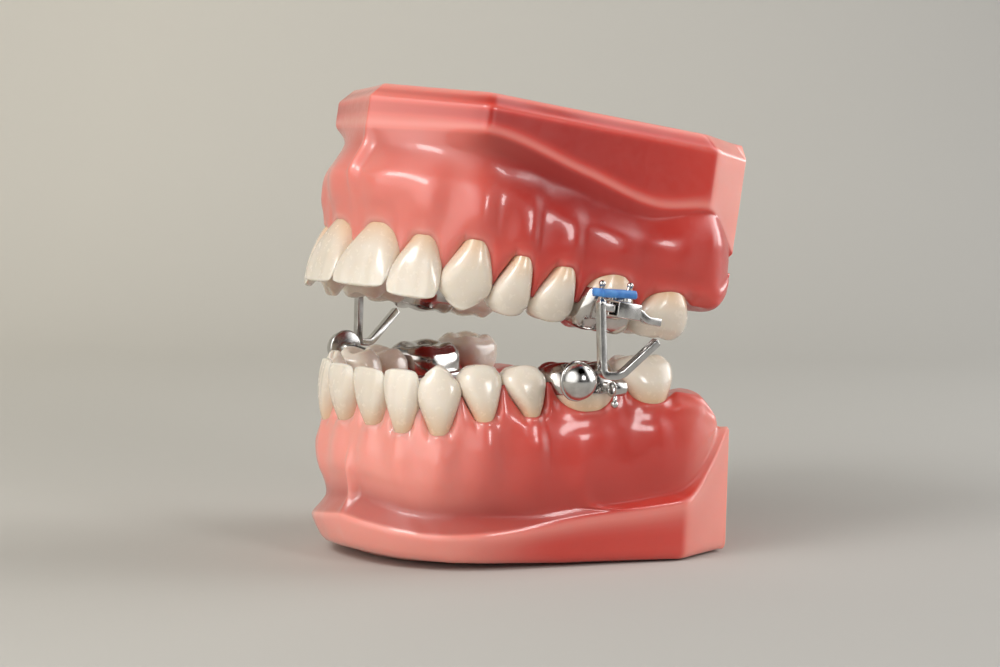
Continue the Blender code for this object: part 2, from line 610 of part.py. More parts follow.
def lower_side(side, flip):
    path = rounded([(22.6, 26.2, 27.4), (26.4, 21.6, 28.7), (button_x - 1.4, button_y, button_z),
                    (button_x + 0.3, button_y, button_z)], 1.2, 3)
    domed = [(0.0, 1.0), (button_rim, 1.0)]
    for k in range(1, 4):
        turn = 0.5 * math.pi * k / 3.3
        domed.append((button_rim + button_domed * math.sin(turn), math.cos(turn)))
    axis = np.array([(button_x + x, button_y, button_z) for x, _ in domed])
    button = swept(axis, round_outline(button_round / 2, 16), (0.0, 1.0, 0.0), [r for _, r in domed])
    built(f"lower_{side}_arm", steel_paint, None, flip, False, button,
          [swept(path, round_outline(arm_round / 2, 10), (0.0, 0.0, 1.0))], [swollen_crown(lower)])
    x, y, z = arch_tube_at
    built(f"lower_{side}_archwire_tube", steel_paint, None, flip, False,
          rod((x, y - 1.1, z), (x, y + 1.1, z), 1.3, 12),
          [box((22.0, y - 0.9, z - 0.8), (x - 0.9, y + 0.9, z + 0.8)),
           rod((x + 0.2, y - 0.7, z - 1.0), (x + 0.35, y - 0.7, z - 2.3), 0.35, 8),
           ball((x + 0.35, y - 0.7, z - 2.4), 0.55)],
          [rod((x, y - 2, z), (x, y + 2, z), 0.75, 12), swollen_crown(lower)])


def lingual_arch():
    half = []
    for s in np.linspace(1.5, lower.contacts[molar + 1] - 2.5, 10):
        point, _, normal = lower.at(s)
        middles = np.arange(7) + 0.5
        u = np.interp(s, lower.contacts, np.arange(8))
        deep = np.interp(u, middles, [tooth["deep"] for tooth in lower_teeth.values()])
        xy = point - normal * (deep + 1.0 + arch_wire / 2)
        half.append((xy[0], xy[1], bite_z - np.interp(u, [0, 3, 6], [6.5, 5.6, 4.6])))
    half = np.array(half)
    path = np.concatenate([half[::-1], half * (-1.0, 1.0, 1.0)])
    sizes = np.ones(len(path))
    sizes[:2] = sizes[-2:] = 1.9
    points, faces = swept(path, round_outline(arch_wire / 2, 6), (0.0, 0.0, 1.0), sizes)
    solid("lower_lingual_arch", points, faces, steel_paint)


for side, flip in (("left", False), ("right", True)):
    upper_side(side, flip)
    lower_side(side, flip)
lingual_arch()
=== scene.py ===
import math

import bmesh
import bpy
import numpy as np
from mathutils import Matrix, Vector


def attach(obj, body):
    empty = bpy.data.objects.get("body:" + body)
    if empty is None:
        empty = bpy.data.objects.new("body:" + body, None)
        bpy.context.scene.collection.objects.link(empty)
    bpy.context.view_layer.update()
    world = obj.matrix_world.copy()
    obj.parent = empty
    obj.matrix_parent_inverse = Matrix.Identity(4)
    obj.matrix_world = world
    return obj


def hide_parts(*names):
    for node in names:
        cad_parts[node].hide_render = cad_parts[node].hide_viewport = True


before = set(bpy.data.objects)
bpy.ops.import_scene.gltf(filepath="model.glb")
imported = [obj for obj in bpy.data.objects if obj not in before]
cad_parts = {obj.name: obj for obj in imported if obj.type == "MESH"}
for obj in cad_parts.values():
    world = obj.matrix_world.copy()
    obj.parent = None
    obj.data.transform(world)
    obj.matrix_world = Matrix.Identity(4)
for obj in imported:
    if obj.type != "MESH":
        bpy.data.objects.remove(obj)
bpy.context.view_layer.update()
print("stage: frame loaded")

# Everything is drawn in millimetres with the upper jaw closed, then swung open and set in place
millimetre = 0.001
layout = dict(biteHeight=30.8, frameBack=26.0, openAngle=10.2, hingeY=64.0, hingeZ=31.0, overjet=2.8)

# Each tooth: width along the arch, depth, height of its neck over the bite, how far its tip passes the bite,
# lean towards the lip in degrees, share of its width at the neck and how far the neck sits back
upperTeeth = {
    "central_incisor": dict(kind="incisor", wide=11.0, deep=7.2, gum=10.7, tip=-0.1, lean=23, neck=0.64, skew=0.4),
    "lateral_incisor": dict(kind="incisor", wide=8.3, deep=6.4, gum=9.6, tip=0.3, lean=17, neck=0.52, skew=0.5),
    "canine": dict(kind="canine", wide=8.4, deep=8.0, gum=10.0, tip=0.6, lean=3, neck=0.52, skew=0.9),
    "first_premolar": dict(kind="premolar", wide=6.8, deep=9.0, gum=8.7, tip=0.2, lean=-2, neck=0.50, skew=1.0),
    "second_premolar": dict(kind="premolar", wide=7.5, deep=9.0, gum=8.1, tip=0.1, lean=-2, neck=0.50, skew=1.0),
    "first_molar": dict(kind="molar", wide=10.7, deep=11.0, gum=8.0, tip=0.3, lean=-3, neck=0.74, skew=0.5),
    "second_molar": dict(kind="molar", wide=10.5, deep=10.8, gum=6.9, tip=0.0, lean=-3, neck=0.70, skew=0.4),
}
lowerTeeth = {
    "central_incisor": dict(kind="incisor", wide=7.6, deep=6.0, gum=9.3, tip=-0.5, lean=9, neck=0.56, skew=0.0),
    "lateral_incisor": dict(kind="incisor", wide=6.3, deep=6.3, gum=10.0, tip=-0.4, lean=5, neck=0.56, skew=0.1),
    "canine": dict(kind="canine", wide=7.1, deep=7.6, gum=10.2, tip=0.1, lean=2, neck=0.50, skew=0.2),
    "first_premolar": dict(kind="premolar", wide=7.1, deep=7.8, gum=8.1, tip=0.1, lean=-4, neck=0.46, skew=0.5),
    "second_premolar": dict(kind="premolar", wide=7.6, deep=8.4, gum=7.6, tip=-0.2, lean=-6, neck=0.40, skew=0.9),
    "first_molar": dict(kind="molar", wide=12.4, deep=10.4, gum=6.9, tip=-0.2, lean=-8, neck=0.72, skew=0.4),
    "second_molar": dict(kind="molar", wide=10.1, deep=10.0, gum=6.2, tip=0.6, lean=-8, neck=0.66, skew=0.3),
}
upperArch = ((0.0, -2.4), (14.5, -3.0), (26.0, 9.0), (30.3, 47.0))
lowerArch = ((0.0, -0.9), (17.0, -1.4), (21.1, 6.6), (28.6, 44.0))

# Knots of the trimmed bases: tooth count from the midline, then x and y, or a height. Those of body say how far
# out the gum stands at its middle, low down and in the fold, and how deep the fold lies under the rim. Light
# values paint light and sheen on the resin where lamps fall; shade values paint shade, a deeper red, in folds and
# shaded sides
upperBase = dict(
    tall=32.3, bevel=2.3, floor=17.0, heelCrest=4.8, heelDrop=9.0, heelLong=8.4,
    wall=((0, 0.0, -0.3), (2.5, 20.0, 7.6), (7.0, 29.6, 46.3), (8, 26.0, 55.6)),
    rim=((0, 25.2), (2.5, 25.9), (4.5, 22.2), (6.0, 19.4), (7.0, 20.6), (8, 15.0)),
    scallop=(3.6, 3.8, 4.0, 3.8, 3.6, 2.6, 2.4), papilla=2.4, frenum=1.6, sideFrenum=0.0,
    bulge=((0, 0.6), (1.9, 0.65), (2.5, 1.1), (3.2, 0.65), (4.5, 0.5), (6, 0.6), (8, 0.6)),
    body=((0, -1.0, -2.1, -3.5, 4.2), (2.5, -0.9, -2.0, -3.0, 4.2), (4, -0.8, -1.8, -2.5, 3.8),
          (5.5, -0.5, -1.4, -2.2, 3.2), (6.6, 0.5, 0.0, -1.1, 1.8), (7, 0.7, 0.3, -0.8, 1.4),
          (8, -0.6, -0.9, -1.0, 0.4)),
    paintedLight=((0, 0.6), (2, 0.42), (3, 0.15), (4.5, 0.0), (6, 0.0), (8, 0.0)),
    wallPaintedLight=((0, 0.5), (2, 0.2), (2.7, 0.0), (6.95, 0.0), (7.03, 0.8), (8, 1.0)),
    wallPaintedShade=((0, 0.2), (2, 0.3), (2.7, 0.6), (4, 0.6), (5.5, 0.4), (6.5, 0.15), (7, 0.0), (8, 0.0)),
    bodyPaintedShade=((0, 0.0), (2.2, 0.05), (3.3, 0.6), (4.2, 0.75), (5.2, 0.75), (6.2, 0.5), (7, 0.25), (8, 0.0)),
    foldPaintedShade=((0, 0.3), (2, 0.35), (3, 0.8), (4, 1.0), (5.5, 0.8), (6.3, 0.45), (7, 0.15), (8, 0.0)))
lowerBase = dict(
    tall=30.8, floor=19.5, heelCrest=4.8, heelDrop=13.5, heelLong=8.4,
    wall=((0, 0.0, -2.4), (0.5, 5.0, -1.9), (1, 10.0, -0.4), (1.5, 14.2, 2.0), (2, 17.4, 5.2),
          (2.5, 20.2, 9.8), (3, 22.2, 15.4), (6.75, 30.8, 42.6), (8, 28.0, 53.6)),
    foot=((0, 0.0, 5.4), (1, 6.0, 7.0), (2, 12.2, 12.4), (3, 17.4, 20.4), (6.75, 29.0, 42.0), (8, 25.6, 51.2)),
    rim=((0, 23.3), (2, 25.2), (4.5, 23.0), (6.75, 21.2), (7.5, 16.2), (8, 10.6)),
    scallop=(1.6, 1.7, 2.2, 2.6, 2.8, 2.0, 1.8), papilla=3.0, frenum=1.6, sideFrenum=0.55,
    bulge=((0, 0.5), (1.9, 0.55), (2.5, 1.0), (3.2, 0.9), (4.5, 0.8), (6, 0.7), (8, 0.6)),
    body=((0, -0.6, -1.5, -2.7, 4.2), (1, -0.6, -1.5, -2.6, 4.4), (2.5, -0.4, -1.2, -2.3, 4.0),
          (3.5, 0.1, -0.6, -1.6, 2.6), (4.5, 0.7, 0.3, -0.6, 1.4), (6.5, 1.1, 1.0, 0.0, 1.4),
          (7, 1.0, 0.8, 0.0, 1.1), (8, 0.4, 0.1, 0.1, 0.3)),
    paintedLight=((0, 1.0), (2, 0.85), (3, 0.5), (4, 0.2), (5, 0.05), (6.7, 0.0), (7.4, 0.35), (8, 0.9)),
    wallPaintedLight=((0, 1.0), (2, 0.9), (2.6, 0.5), (3.2, 0.15), (4, 0.0), (6.6, 0.0), (6.8, 0.6), (8, 0.9)),
    wallPaintedShade=((0, 0.0), (2, 0.0), (3, 0.1), (5, 0.15), (6.6, 0.1), (7, 0.0), (8, 0.0)),
    bodyPaintedShade=((0, 0.0), (2.6, 0.0), (3.5, 0.2), (5, 0.3), (6.5, 0.25), (7.2, 0.1), (8, 0.0)),
    foldPaintedShade=((0, 0.7), (3.5, 0.8), (4.5, 0.5), (5.5, 0.3), (7, 0.1), (8, 0.0)))


def throughKnots(x, knotX, knotY):
    # A smooth line through knots that never overshoots them
    kx, ky = np.array(knotX, float), np.array(knotY, float)
    x = np.clip(np.asarray(x, float), kx[0], kx[-1])
    step = np.diff(kx)
    rise = np.diff(ky) / step
    slope = np.zeros(len(kx))
    same = rise[:-1] * rise[1:] > 0
    slope[1:-1][same] = 2 * rise[:-1][same] * rise[1:][same] / (rise[:-1][same] + rise[1:][same])
    slope[0], slope[-1] = rise[0], rise[-1]
    i = np.clip(np.searchsorted(kx, x, side="right") - 1, 0, len(kx) - 2)
    t = (x - kx[i]) / step[i]
    return ((1 + 2 * t) * (1 - t) ** 2 * ky[i] + t * (1 - t) ** 2 * step[i] * slope[i]
            + t * t * (3 - 2 * t) * ky[i + 1] + t * t * (t - 1) * step[i] * slope[i + 1])


def eased(x):
    x = np.clip(x, 0.0, 1.0)
    return x * x * (3 - 2 * x)


def swingOpen(points):
    turn = math.radians(layout["openAngle"])
    moved = np.array(points, float)
    y = moved[..., 1] - layout["overjet"] - layout["hingeY"]
    z = moved[..., 2] - layout["hingeZ"]
    moved[..., 1] = layout["hingeY"] + y * math.cos(turn) + z * math.sin(turn)
    moved[..., 2] = layout["hingeZ"] - y * math.sin(turn) + z * math.cos(turn)
    return moved


class JawLine:
    # The line along the cheek faces of one jaw's teeth, and where each tooth stands on it

    def __init__(self, name, handles, teeth, direction):
        self.name, self.teeth, self.direction = name, teeth, direction
        self.order = list(teeth)
        p, t = np.array(handles, float), np.linspace(0.0, 1.0, 1601)[:, None]
        self.line = ((1 - t) ** 3 * p[0] + 3 * t * (1 - t) ** 2 * p[1]
                     + 3 * t * t * (1 - t) * p[2] + t ** 3 * p[3])
        self.run = np.concatenate([[0.0], np.cumsum(np.linalg.norm(np.diff(self.line, axis=0), axis=1))])
        self.contacts = np.concatenate([[0.0], np.cumsum([tooth["wide"] for tooth in teeth.values()])])

    def onLine(self, s):
        s = np.asarray(s, float)
        x = np.interp(np.abs(s), self.run, self.line[:, 0]) * np.sign(s)
        y = np.interp(np.abs(s), self.run, self.line[:, 1])
        end = self.line[-1] - self.line[-2]
        beyond = np.maximum(s - self.run[-1], 0.0)[..., None]
        return np.stack([x, y], -1) + beyond * end / np.linalg.norm(end)

    def at(self, s):
        tangent = self.onLine(s + 0.4) - self.onLine(s - 0.4)
        tangent = tangent / np.linalg.norm(tangent, axis=-1, keepdims=True)
        return self.onLine(s), tangent, np.stack([tangent[..., 1], -tangent[..., 0]], -1)

    def place(self, number, m, b, v):
        # m runs to the back, b to the cheek, v to the bite
        tooth = self.teeth[self.order[number]]
        point, tangent, normal = self.at(0.5 * (self.contacts[number] + self.contacts[number + 1]))
        lean = math.radians(tooth["lean"])
        pivot = tooth["gum"] * 0.55
        out = b * math.cos(lean) + (v - pivot) * math.sin(lean) - 0.53 * tooth["deep"]
        along = pivot + (v - pivot) * math.cos(lean) - b * math.sin(lean) * 0.5
        xy = point + np.multiply.outer(m, tangent) + np.multiply.outer(out, normal)
        z = layout["biteHeight"] + self.direction * (tooth["gum"] - along)
        return np.concatenate([xy, z[..., None]], -1)

    def shown(self, points):
        return swingOpen(points) if self.direction > 0 else np.array(points, float)


upperJaw = JawLine("upper", upperArch, upperTeeth, 1.0)
lowerJaw = JawLine("lower", lowerArch, lowerTeeth, -1.0)


def makeMesh(name, points, faces, material, mirrored=False, sharpAngle=180.0, tints=None):
    # One mesh piece in place, doubled points joined and faces outwards
    points = np.array(points, float)
    if mirrored:
        points = points * (-1.0, 1.0, 1.0)
    placed = (points - (0.0, layout["frameBack"], 0.0)) * millimetre
    mesh = bpy.data.meshes.new(name)
    mesh.from_pydata(placed.tolist(), [], faces)
    for key, values in (tints or {}).items():
        mesh.attributes.new(key, "FLOAT", "POINT").data.foreach_set("value", np.asarray(values, np.float32))
    work = bmesh.new()
    work.from_mesh(mesh)
    bmesh.ops.remove_doubles(work, verts=work.verts, dist=2e-6)
    bmesh.ops.dissolve_degenerate(work, edges=work.edges, dist=1e-7)
    bmesh.ops.recalc_face_normals(work, faces=work.faces)
    if work.calc_volume(signed=True) < 0:
        bmesh.ops.reverse_faces(work, faces=work.faces)
    work.to_mesh(mesh)
    work.free()
    mesh.materials.append(material)
    mesh.polygons.foreach_set("use_smooth", [True] * len(mesh.polygons))
    if sharpAngle < 180:
        mesh.set_sharp_from_angle(angle=math.radians(sharpAngle))
    made = bpy.data.objects.new(name, mesh)
    bpy.context.scene.collection.objects.link(made)
    return made


def ringFaces(count, rings, wrap=True, caps=True):
    faces = []
    for i in range(rings - 1):
        for j in range(count if wrap else count - 1):
            k = (j + 1) % count
            faces.append((i * count + j, i * count + k, (i + 1) * count + k, (i + 1) * count + j))
    if caps:
        faces.append(tuple(range(count - 1, -1, -1)))
        faces.append(tuple(range((rings - 1) * count, rings * count)))
    return faces


def fitted(piece, body, slotName, *nodes):
    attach(piece, body)
    if nodes:
        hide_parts(*nodes)
    return piece


# Materials

class Nodes:
    def __init__(self, name):
        self.material = bpy.data.materials.new(name)
        self.material.use_nodes = True
        self.tree = self.material.node_tree
        self.shader = self.tree.nodes["Principled BSDF"]
        self.coordinates = self.add("ShaderNodeTexCoord").outputs["Object"]

    def add(self, kind, **values):
        node = self.tree.nodes.new(kind)
        for key, value in values.items():
            setattr(node, key, value)
        return node

    def link(self, out, into):
        self.tree.links.new(out, into)

    def noise(self, scale, detail=3.0, rough=0.5):
        node = self.add("ShaderNodeTexNoise")
        self.link(self.coordinates, node.inputs["Vector"])
        node.inputs["Scale"].default_value = scale
        node.inputs["Detail"].default_value = detail
        node.inputs["Roughness"].default_value = rough
        return node.outputs["Fac"]

    def spread(self, source, low=0.0, high=1.0, fromLow=0.3, fromHigh=0.7):
        node = self.add("ShaderNodeMapRange")
        self.link(source, node.inputs["Value"])
        values = {"From Min": fromLow, "From Max": fromHigh, "To Min": low, "To Max": high}
        for key, value in values.items():
            node.inputs[key].default_value = value
        return node.outputs["Result"]

    def blend(self, amount, first, second):
        node = self.add("ShaderNodeMix", data_type="RGBA")
        self.link(amount, node.inputs[0])
        for socket, value in ((node.inputs[6], first), (node.inputs[7], second)):
            if isinstance(value, bpy.types.NodeSocket):
                self.link(value, socket)
            else:
                socket.default_value = (*value, 1.0)
        return node.outputs[2]

    def bump(self, source, strength, distance, before=None):
        node = self.add("ShaderNodeBump")
        node.inputs["Strength"].default_value = strength
        node.inputs["Distance"].default_value = distance
        self.link(source, node.inputs["Height"])
        if before is not None:
            self.link(before, node.inputs["Normal"])
        return node.outputs["Normal"]

    def feed(self, socket, source):
        self.link(source, self.shader.inputs[socket])

    def clouds(self, look, first, second):
        # Two colours in soft clouds
        amount = self.spread(self.noise(look["cloudScale"], look["cloudDetail"]))
        return self.blend(amount, look[first], look[second])

    def haze(self, look):
        # A roughness that wanders a little
        self.feed("Roughness", self.spread(self.noise(look["hazeScale"], *look["hazeDetail"]), *look["rough"]))

    def settings(self, values):
        for key, value in values.items():
            self.shader.inputs[key].default_value = value


def gumResin(look):
    made = Nodes("gumResin")
    tint = made.add("ShaderNodeAttribute", attribute_name="tint").outputs["Fac"]
    paintedLight = made.add("ShaderNodeAttribute", attribute_name="paintedLight").outputs["Fac"]
    colour = made.clouds(look, "pink", "warmPink")
    # Painted light and sheen where the lamps fall, painted shade in folds, on shaded sides and between teeth, and
    # painted highlights along edges and the rolled margin
    colour = made.blend(made.spread(paintedLight, fromLow=0.0, fromHigh=1.0), colour, look["litPink"])
    colour = made.blend(made.spread(tint, fromLow=0.0, fromHigh=1.0), colour, look["shadeRed"])
    colour = made.blend(made.spread(tint, 0.0, 0.6, 0.0, -1.0), colour, look["highlightPink"])
    made.feed("Base Color", colour)
    made.haze(look)
    waves = made.bump(made.noise(look["waveScale"], 1.0), 0.35, look["waveTall"])
    made.feed("Normal", made.bump(made.noise(look["grainScale"], 3.0), 0.04, look["grainTall"], waves))
    made.feed("Coat Weight", made.spread(tint, look["coat"], look["foldCoat"], 0.55, 0.8))  # folds stay dull
    made.settings({"Subsurface Weight": look["glow"], "Subsurface Scale": look["glowDepth"],
                   "Subsurface Radius": (1.0, 0.22, 0.16), "IOR": 1.5, "Coat Roughness": 0.08})
    return made.material


def toothResin(look):
    made = Nodes("toothResin")
    tint = made.add("ShaderNodeAttribute", attribute_name="tint").outputs["Fac"]
    colour = made.clouds(look, "ivory", "cream")
    # The neck colour is the teeth's warmer neck tone deepened as painted shade at the necks, on the flanks and in
    # the pits
    colour = made.blend(made.spread(tint, 0.0, 0.85, 0.0, 1.0), colour, look["neck"])
    colour = made.blend(made.spread(tint, 0.0, 0.6, 0.0, -1.0), colour, look["edge"])
    made.feed("Base Color", colour)
    made.haze(look)
    made.feed("Normal", made.bump(made.noise(look["waveScale"], 1.0), 0.2, look["waveTall"]))
    made.settings({"Subsurface Weight": look["glow"], "Subsurface Scale": look["glowDepth"],
                   "Subsurface Radius": (1.0, 0.75, 0.5), "IOR": 1.52,
                   "Coat Weight": look["coat"], "Coat Roughness": 0.1})
    return made.material


def polishedSteel(look):
    made = Nodes(look["name"])
    made.feed("Base Color", made.clouds(look, "bright", "dull"))
    made.haze(look)
    waves = made.bump(made.noise(look["waveScale"], 2.0), 0.3, look["waveTall"])
    made.feed("Normal", made.bump(made.noise(look["scratchScale"], 4.0), 0.05, look["scratchDeep"], waves))
    made.settings({"Metallic": 1.0})
    return made.material


def elasticRubber(look):
    made = Nodes("blueElastic")
    made.feed("Base Color", made.clouds(look, "blue", "lightBlue"))
    made.haze(look)
    made.feed("Normal", made.bump(made.noise(look["waveScale"], 2.0), 0.3, look["waveTall"]))
    made.settings({"Subsurface Weight": look["glow"], "Subsurface Scale": look["glowDepth"]})
    return made.material


# Its darkest red is painted shade, its palest pink painted light and sheen, and its edge pink painted highlights
gumPaint = gumResin(dict(
    pink=(0.60, 0.060, 0.043), warmPink=(0.57, 0.049, 0.034), shadeRed=(0.27, 0.008, 0.006),
    litPink=(0.87, 0.34, 0.28), highlightPink=(0.82, 0.33, 0.28), coat=0.5, foldCoat=0.04, glow=0.6, glowDepth=0.0035,
    cloudScale=90, cloudDetail=4.0, hazeScale=900, hazeDetail=(5.0, 0.6), rough=(0.28, 0.38),
    waveScale=160, waveTall=0.0004, grainScale=1500, grainTall=0.0002))
# Its neck colour is partly the teeth's own warmer neck and partly painted shade
toothPaint = toothResin(dict(
    ivory=(0.74, 0.65, 0.54), cream=(0.77, 0.69, 0.59), neck=(0.74, 0.47, 0.27), edge=(0.80, 0.74, 0.64),
    coat=0.35, glow=0.4, glowDepth=0.0018, cloudScale=260, cloudDetail=4.0, hazeScale=1200, hazeDetail=(4.0, 0.5),
    rough=(0.18, 0.3), waveScale=420, waveTall=0.00012))
steelPaint = polishedSteel(dict(
    name="polishedSteel", bright=(0.66, 0.65, 0.63), dull=(0.50, 0.49, 0.48), cloudScale=700, cloudDetail=3.0,
    hazeScale=2600, hazeDetail=(6.0, 0.7), rough=(0.14, 0.26), waveScale=900, waveTall=0.00003,
    scratchScale=6000, scratchDeep=0.00005))
crownPaint = polishedSteel(dict(
    name="crownSteel", bright=(0.64, 0.61, 0.58), dull=(0.46, 0.43, 0.41), cloudScale=420, cloudDetail=3.0,
    hazeScale=2200, hazeDetail=(6.0, 0.7), rough=(0.10, 0.2), waveScale=520, waveTall=0.00012,
    scratchScale=5000, scratchDeep=0.00005))
bandPaint = elasticRubber(dict(
    blue=(0.035, 0.17, 0.50), lightBlue=(0.08, 0.27, 0.62), glow=0.2, glowDepth=0.0008, cloudScale=900,
    cloudDetail=3.0, hazeScale=3000, hazeDetail=(4.0, 0.5), rough=(0.32, 0.5), waveScale=2500, waveTall=0.00006))
print("stage: materials made")


# Teeth. Shares of half width and depth at levels from the root, below 0, to the bite, at 1
toothForms = {
    "incisor": dict(flare=(-0.4, 0.0, 0.18, 0.42, 0.68, 0.86, 0.98, 1.0, 0.84),
                    cheek=(0.30, 0.45, 0.49, 0.51, 0.51, 0.485, 0.44, 0.37, 0.29),
                    tongue=(0.30, 0.48, 0.49, 0.44, 0.33, 0.19, 0.08, -0.04, -0.13),
                    power=(2.2, 2.8), edge=0.5, taper=0.30),
    "canine": dict(flare=(-0.4, 0.0, 0.20, 0.44, 0.72, 0.92, 1.0, 0.80, 0.25),
                   cheek=(0.32, 0.45, 0.49, 0.52, 0.53, 0.50, 0.45, 0.37, 0.27),
                   tongue=(0.30, 0.47, 0.49, 0.46, 0.39, 0.27, 0.16, 0.06, -0.03),
                   power=(2.3, 2.7), edge=0.6, taper=0.34),
    "premolar": dict(flare=(-0.35, 0.0, 0.17, 0.38, 0.62, 0.84, 1.0, 0.96, 0.62),
                     cheek=(0.36, 0.46, 0.49, 0.515, 0.52, 0.505, 0.475, 0.42, 0.34),
                     tongue=(0.34, 0.44, 0.46, 0.48, 0.50, 0.49, 0.465, 0.41, 0.31),
                     power=(2.5, 2.9), edge=0.5, taper=0.14),
    "molar": dict(flare=(-0.3, 0.0, 0.20, 0.45, 0.74, 0.95, 1.0, 0.92, 0.62),
                  cheek=(0.40, 0.48, 0.505, 0.525, 0.53, 0.515, 0.485, 0.44, 0.36),
                  tongue=(0.36, 0.44, 0.465, 0.485, 0.50, 0.485, 0.465, 0.43, 0.34),
                  power=(2.4, 3.0), edge=0.5, taper=0.06),
}
toothLevels = (-0.28, 0.0, 0.12, 0.25, 0.4, 0.55, 0.7, 0.86, 1.0)


def biteRelief(kind, x, y):
    # How far the bite surface lies below the cusp tips, in millimetres, over the crown from -1 to 1
    if kind == "incisor":
        return 0.4 * np.abs(x) ** 5 + 0.12 * (x + 1) / 2
    if kind == "canine":
        return 1.5 * (np.sqrt(x * x + 0.05) - 0.22) ** 1.3 + 0.2 * np.maximum(x, 0)
    if kind == "premolar":
        ridge = 0.7 * (np.sqrt(x * x + 0.04) - 0.2) ** 1.3
        pit = 1.1 * np.exp(-((y + 0.03) / 0.34) ** 2) * (1 - 0.6 * np.abs(x) ** 3)
        return ridge * (0.4 + 0.6 * np.minimum(np.abs(y) * 1.4, 1)) + pit + 0.3 * np.maximum(-y, 0)
    cusps = sum(np.exp(-((x - cx) ** 2 / 0.15 + (y - cy) ** 2 / 0.13))
                for cx in (-0.5, 0.5) for cy in (-0.62, 0.62))
    pit = 0.6 * np.exp(-(x * x + y * y) / 0.18) + 0.12 * np.exp(-(x / 0.16) ** 2)
    pit = pit + 0.2 * np.exp(-(y / 0.14) ** 2)
    return 0.45 * (1 - np.minimum(cusps, 1.0)) + pit * (1 - 0.5 * np.maximum(np.abs(x), np.abs(y)) ** 4)


def atLevel(form, level):
    return [throughKnots(level, toothLevels, form[key]) for key in ("flare", "cheek", "tongue")]


def neckShift(tooth, level):
    # The neck of each tooth sits a little behind its middle
    return tooth["skew"] * (1 - eased(level / 0.75))


def toothRings(tooth, sides=56, fromLevel=None, grow=0.0, gap=0.06):
    # Rings of one tooth from the root over the bite, and a tint per point: the warm neck tone deepened by painted
    # shade
    form = toothForms[tooth["kind"]]
    tall = tooth["gum"] + tooth["tip"]
    half = tooth["wide"] / 2 - gap
    turn = np.linspace(0.0, 2 * math.pi, sides, endpoint=False)
    cos, sin = np.cos(turn), np.sin(turn)
    rings, tints = [], []
    start = toothLevels[0] if fromLevel is None else fromLevel
    levels = np.concatenate([np.linspace(start, 0.9, 26), np.linspace(0.925, 1.0, 5)])

    def rim(level):
        flare, cheek, tongue = atLevel(form, level)
        width = half * (tooth["neck"] + (1 - tooth["neck"]) * flare) + grow
        power = 2 / np.interp(level, (0, 0.8), form["power"])
        x = np.sign(cos) * np.abs(cos) ** power
        y = np.sign(sin) * np.abs(sin) ** power
        x = x * (1 - form["taper"] * np.maximum(-y, 0.0) ** 1.3)
        cheek, tongue = cheek * tooth["deep"] + grow, tongue * tooth["deep"] + grow
        middle, reach = (cheek - tongue) / 2, max((cheek + tongue) / 2, 0.35)
        m, b = x * width + neckShift(tooth, level), middle + y * reach
        if tooth["kind"] == "incisor":
            b = b + 0.06 * np.cos(x * 3.4 * math.pi) * eased(y) * eased(level * 2)  # three faint lobes
        v = level * tall - biteRelief(tooth["kind"], x, y) * max(level, 0.0) ** 3 + grow * eased((level - 0.8) * 5)
        return m, b, v, x, y, middle, reach, width

    for level in levels:
        m, b, v, x, y, middle, reach, width = rim(level)
        rings.append((m, b, v))
        # Darker and warmer towards the neck and low on the flanks, partly the neck's own tone and partly painted
        # shade; lighter towards the bite edge
        shade = np.clip(1 - level / 0.5, 0, 1) ** 1.4 - eased((level - 0.72) / 0.3)
        tints.append(shade + 0.55 * x ** 4 * np.clip(1 - level / 0.85, 0, 1))
    edge = form["edge"]
    if tooth["kind"] in ("incisor", "canine"):
        for k in range(1, 7):
            angle = 0.5 * math.pi * k / 6
            inset, rise = edge * (1 - math.cos(angle)), edge * 0.8 * math.sin(angle)
            across, deep = max(1 - inset / width, 0.05), max(1 - inset / reach, 0.05)
            rings.append((m * across, middle + (b - middle) * deep, v + rise))
            tints.append(np.full(sides, -1.0))
        lastM, lastB, lastV = rings[-1]
        for k in (0.6, 0.25, 0.0):
            rings.append((lastM * k, middle + (lastB - middle) * k, lastV * k + lastV.max() * (1 - k)))
            tints.append(np.full(sides, -1.0))
    else:
        drop = biteRelief(tooth["kind"], x, y)
        for k in (0.96, 0.9, 0.82, 0.74, 0.66, 0.58, 0.5, 0.42, 0.34, 0.26, 0.18, 0.1, 0.04, 0.0):
            rise = edge * (1 - ((k - 0.78) / 0.22) ** 2) if k > 0.78 else edge
            lower = biteRelief(tooth["kind"], x * k, y * k) * (1 - k ** 6) + drop * k ** 6
            rings.append((m * k, middle + (b - middle) * k, tall - lower + rise + grow))
            # Painted shade darkens the pits and grooves; the cusps take some of the lighter edge tone
            tints.append(np.full(sides, -0.35 + 0.8 * eased((0.8 - k) * 1.6) * np.clip(lower / 2.2, 0, 1)))
    return rings, np.concatenate(tints)


def makeTooth(jaw, number, side):
    name = jaw.order[number]
    rings, tints = toothRings(jaw.teeth[name])
    points = np.concatenate([jaw.place(number, *ring) for ring in rings])
    if number == 0:
        points[:, 0] = np.maximum(points[:, 0], 0.02)
    node = f"{jaw.name}_{side}_{name}"
    made = makeMesh(node + "_resin", jaw.shown(points), ringFaces(len(rings[0][0]), len(rings)), toothPaint,
                    side == "right", tints={"tint": tints})
    return fitted(made, jaw.name + "_jaw", "ivory_resin", node)


for jaw in (lowerJaw, upperJaw):
    for number in range(7):
        for side in ("left", "right"):
            makeTooth(jaw, number, side)
print("stage: teeth made")


# Gum bases

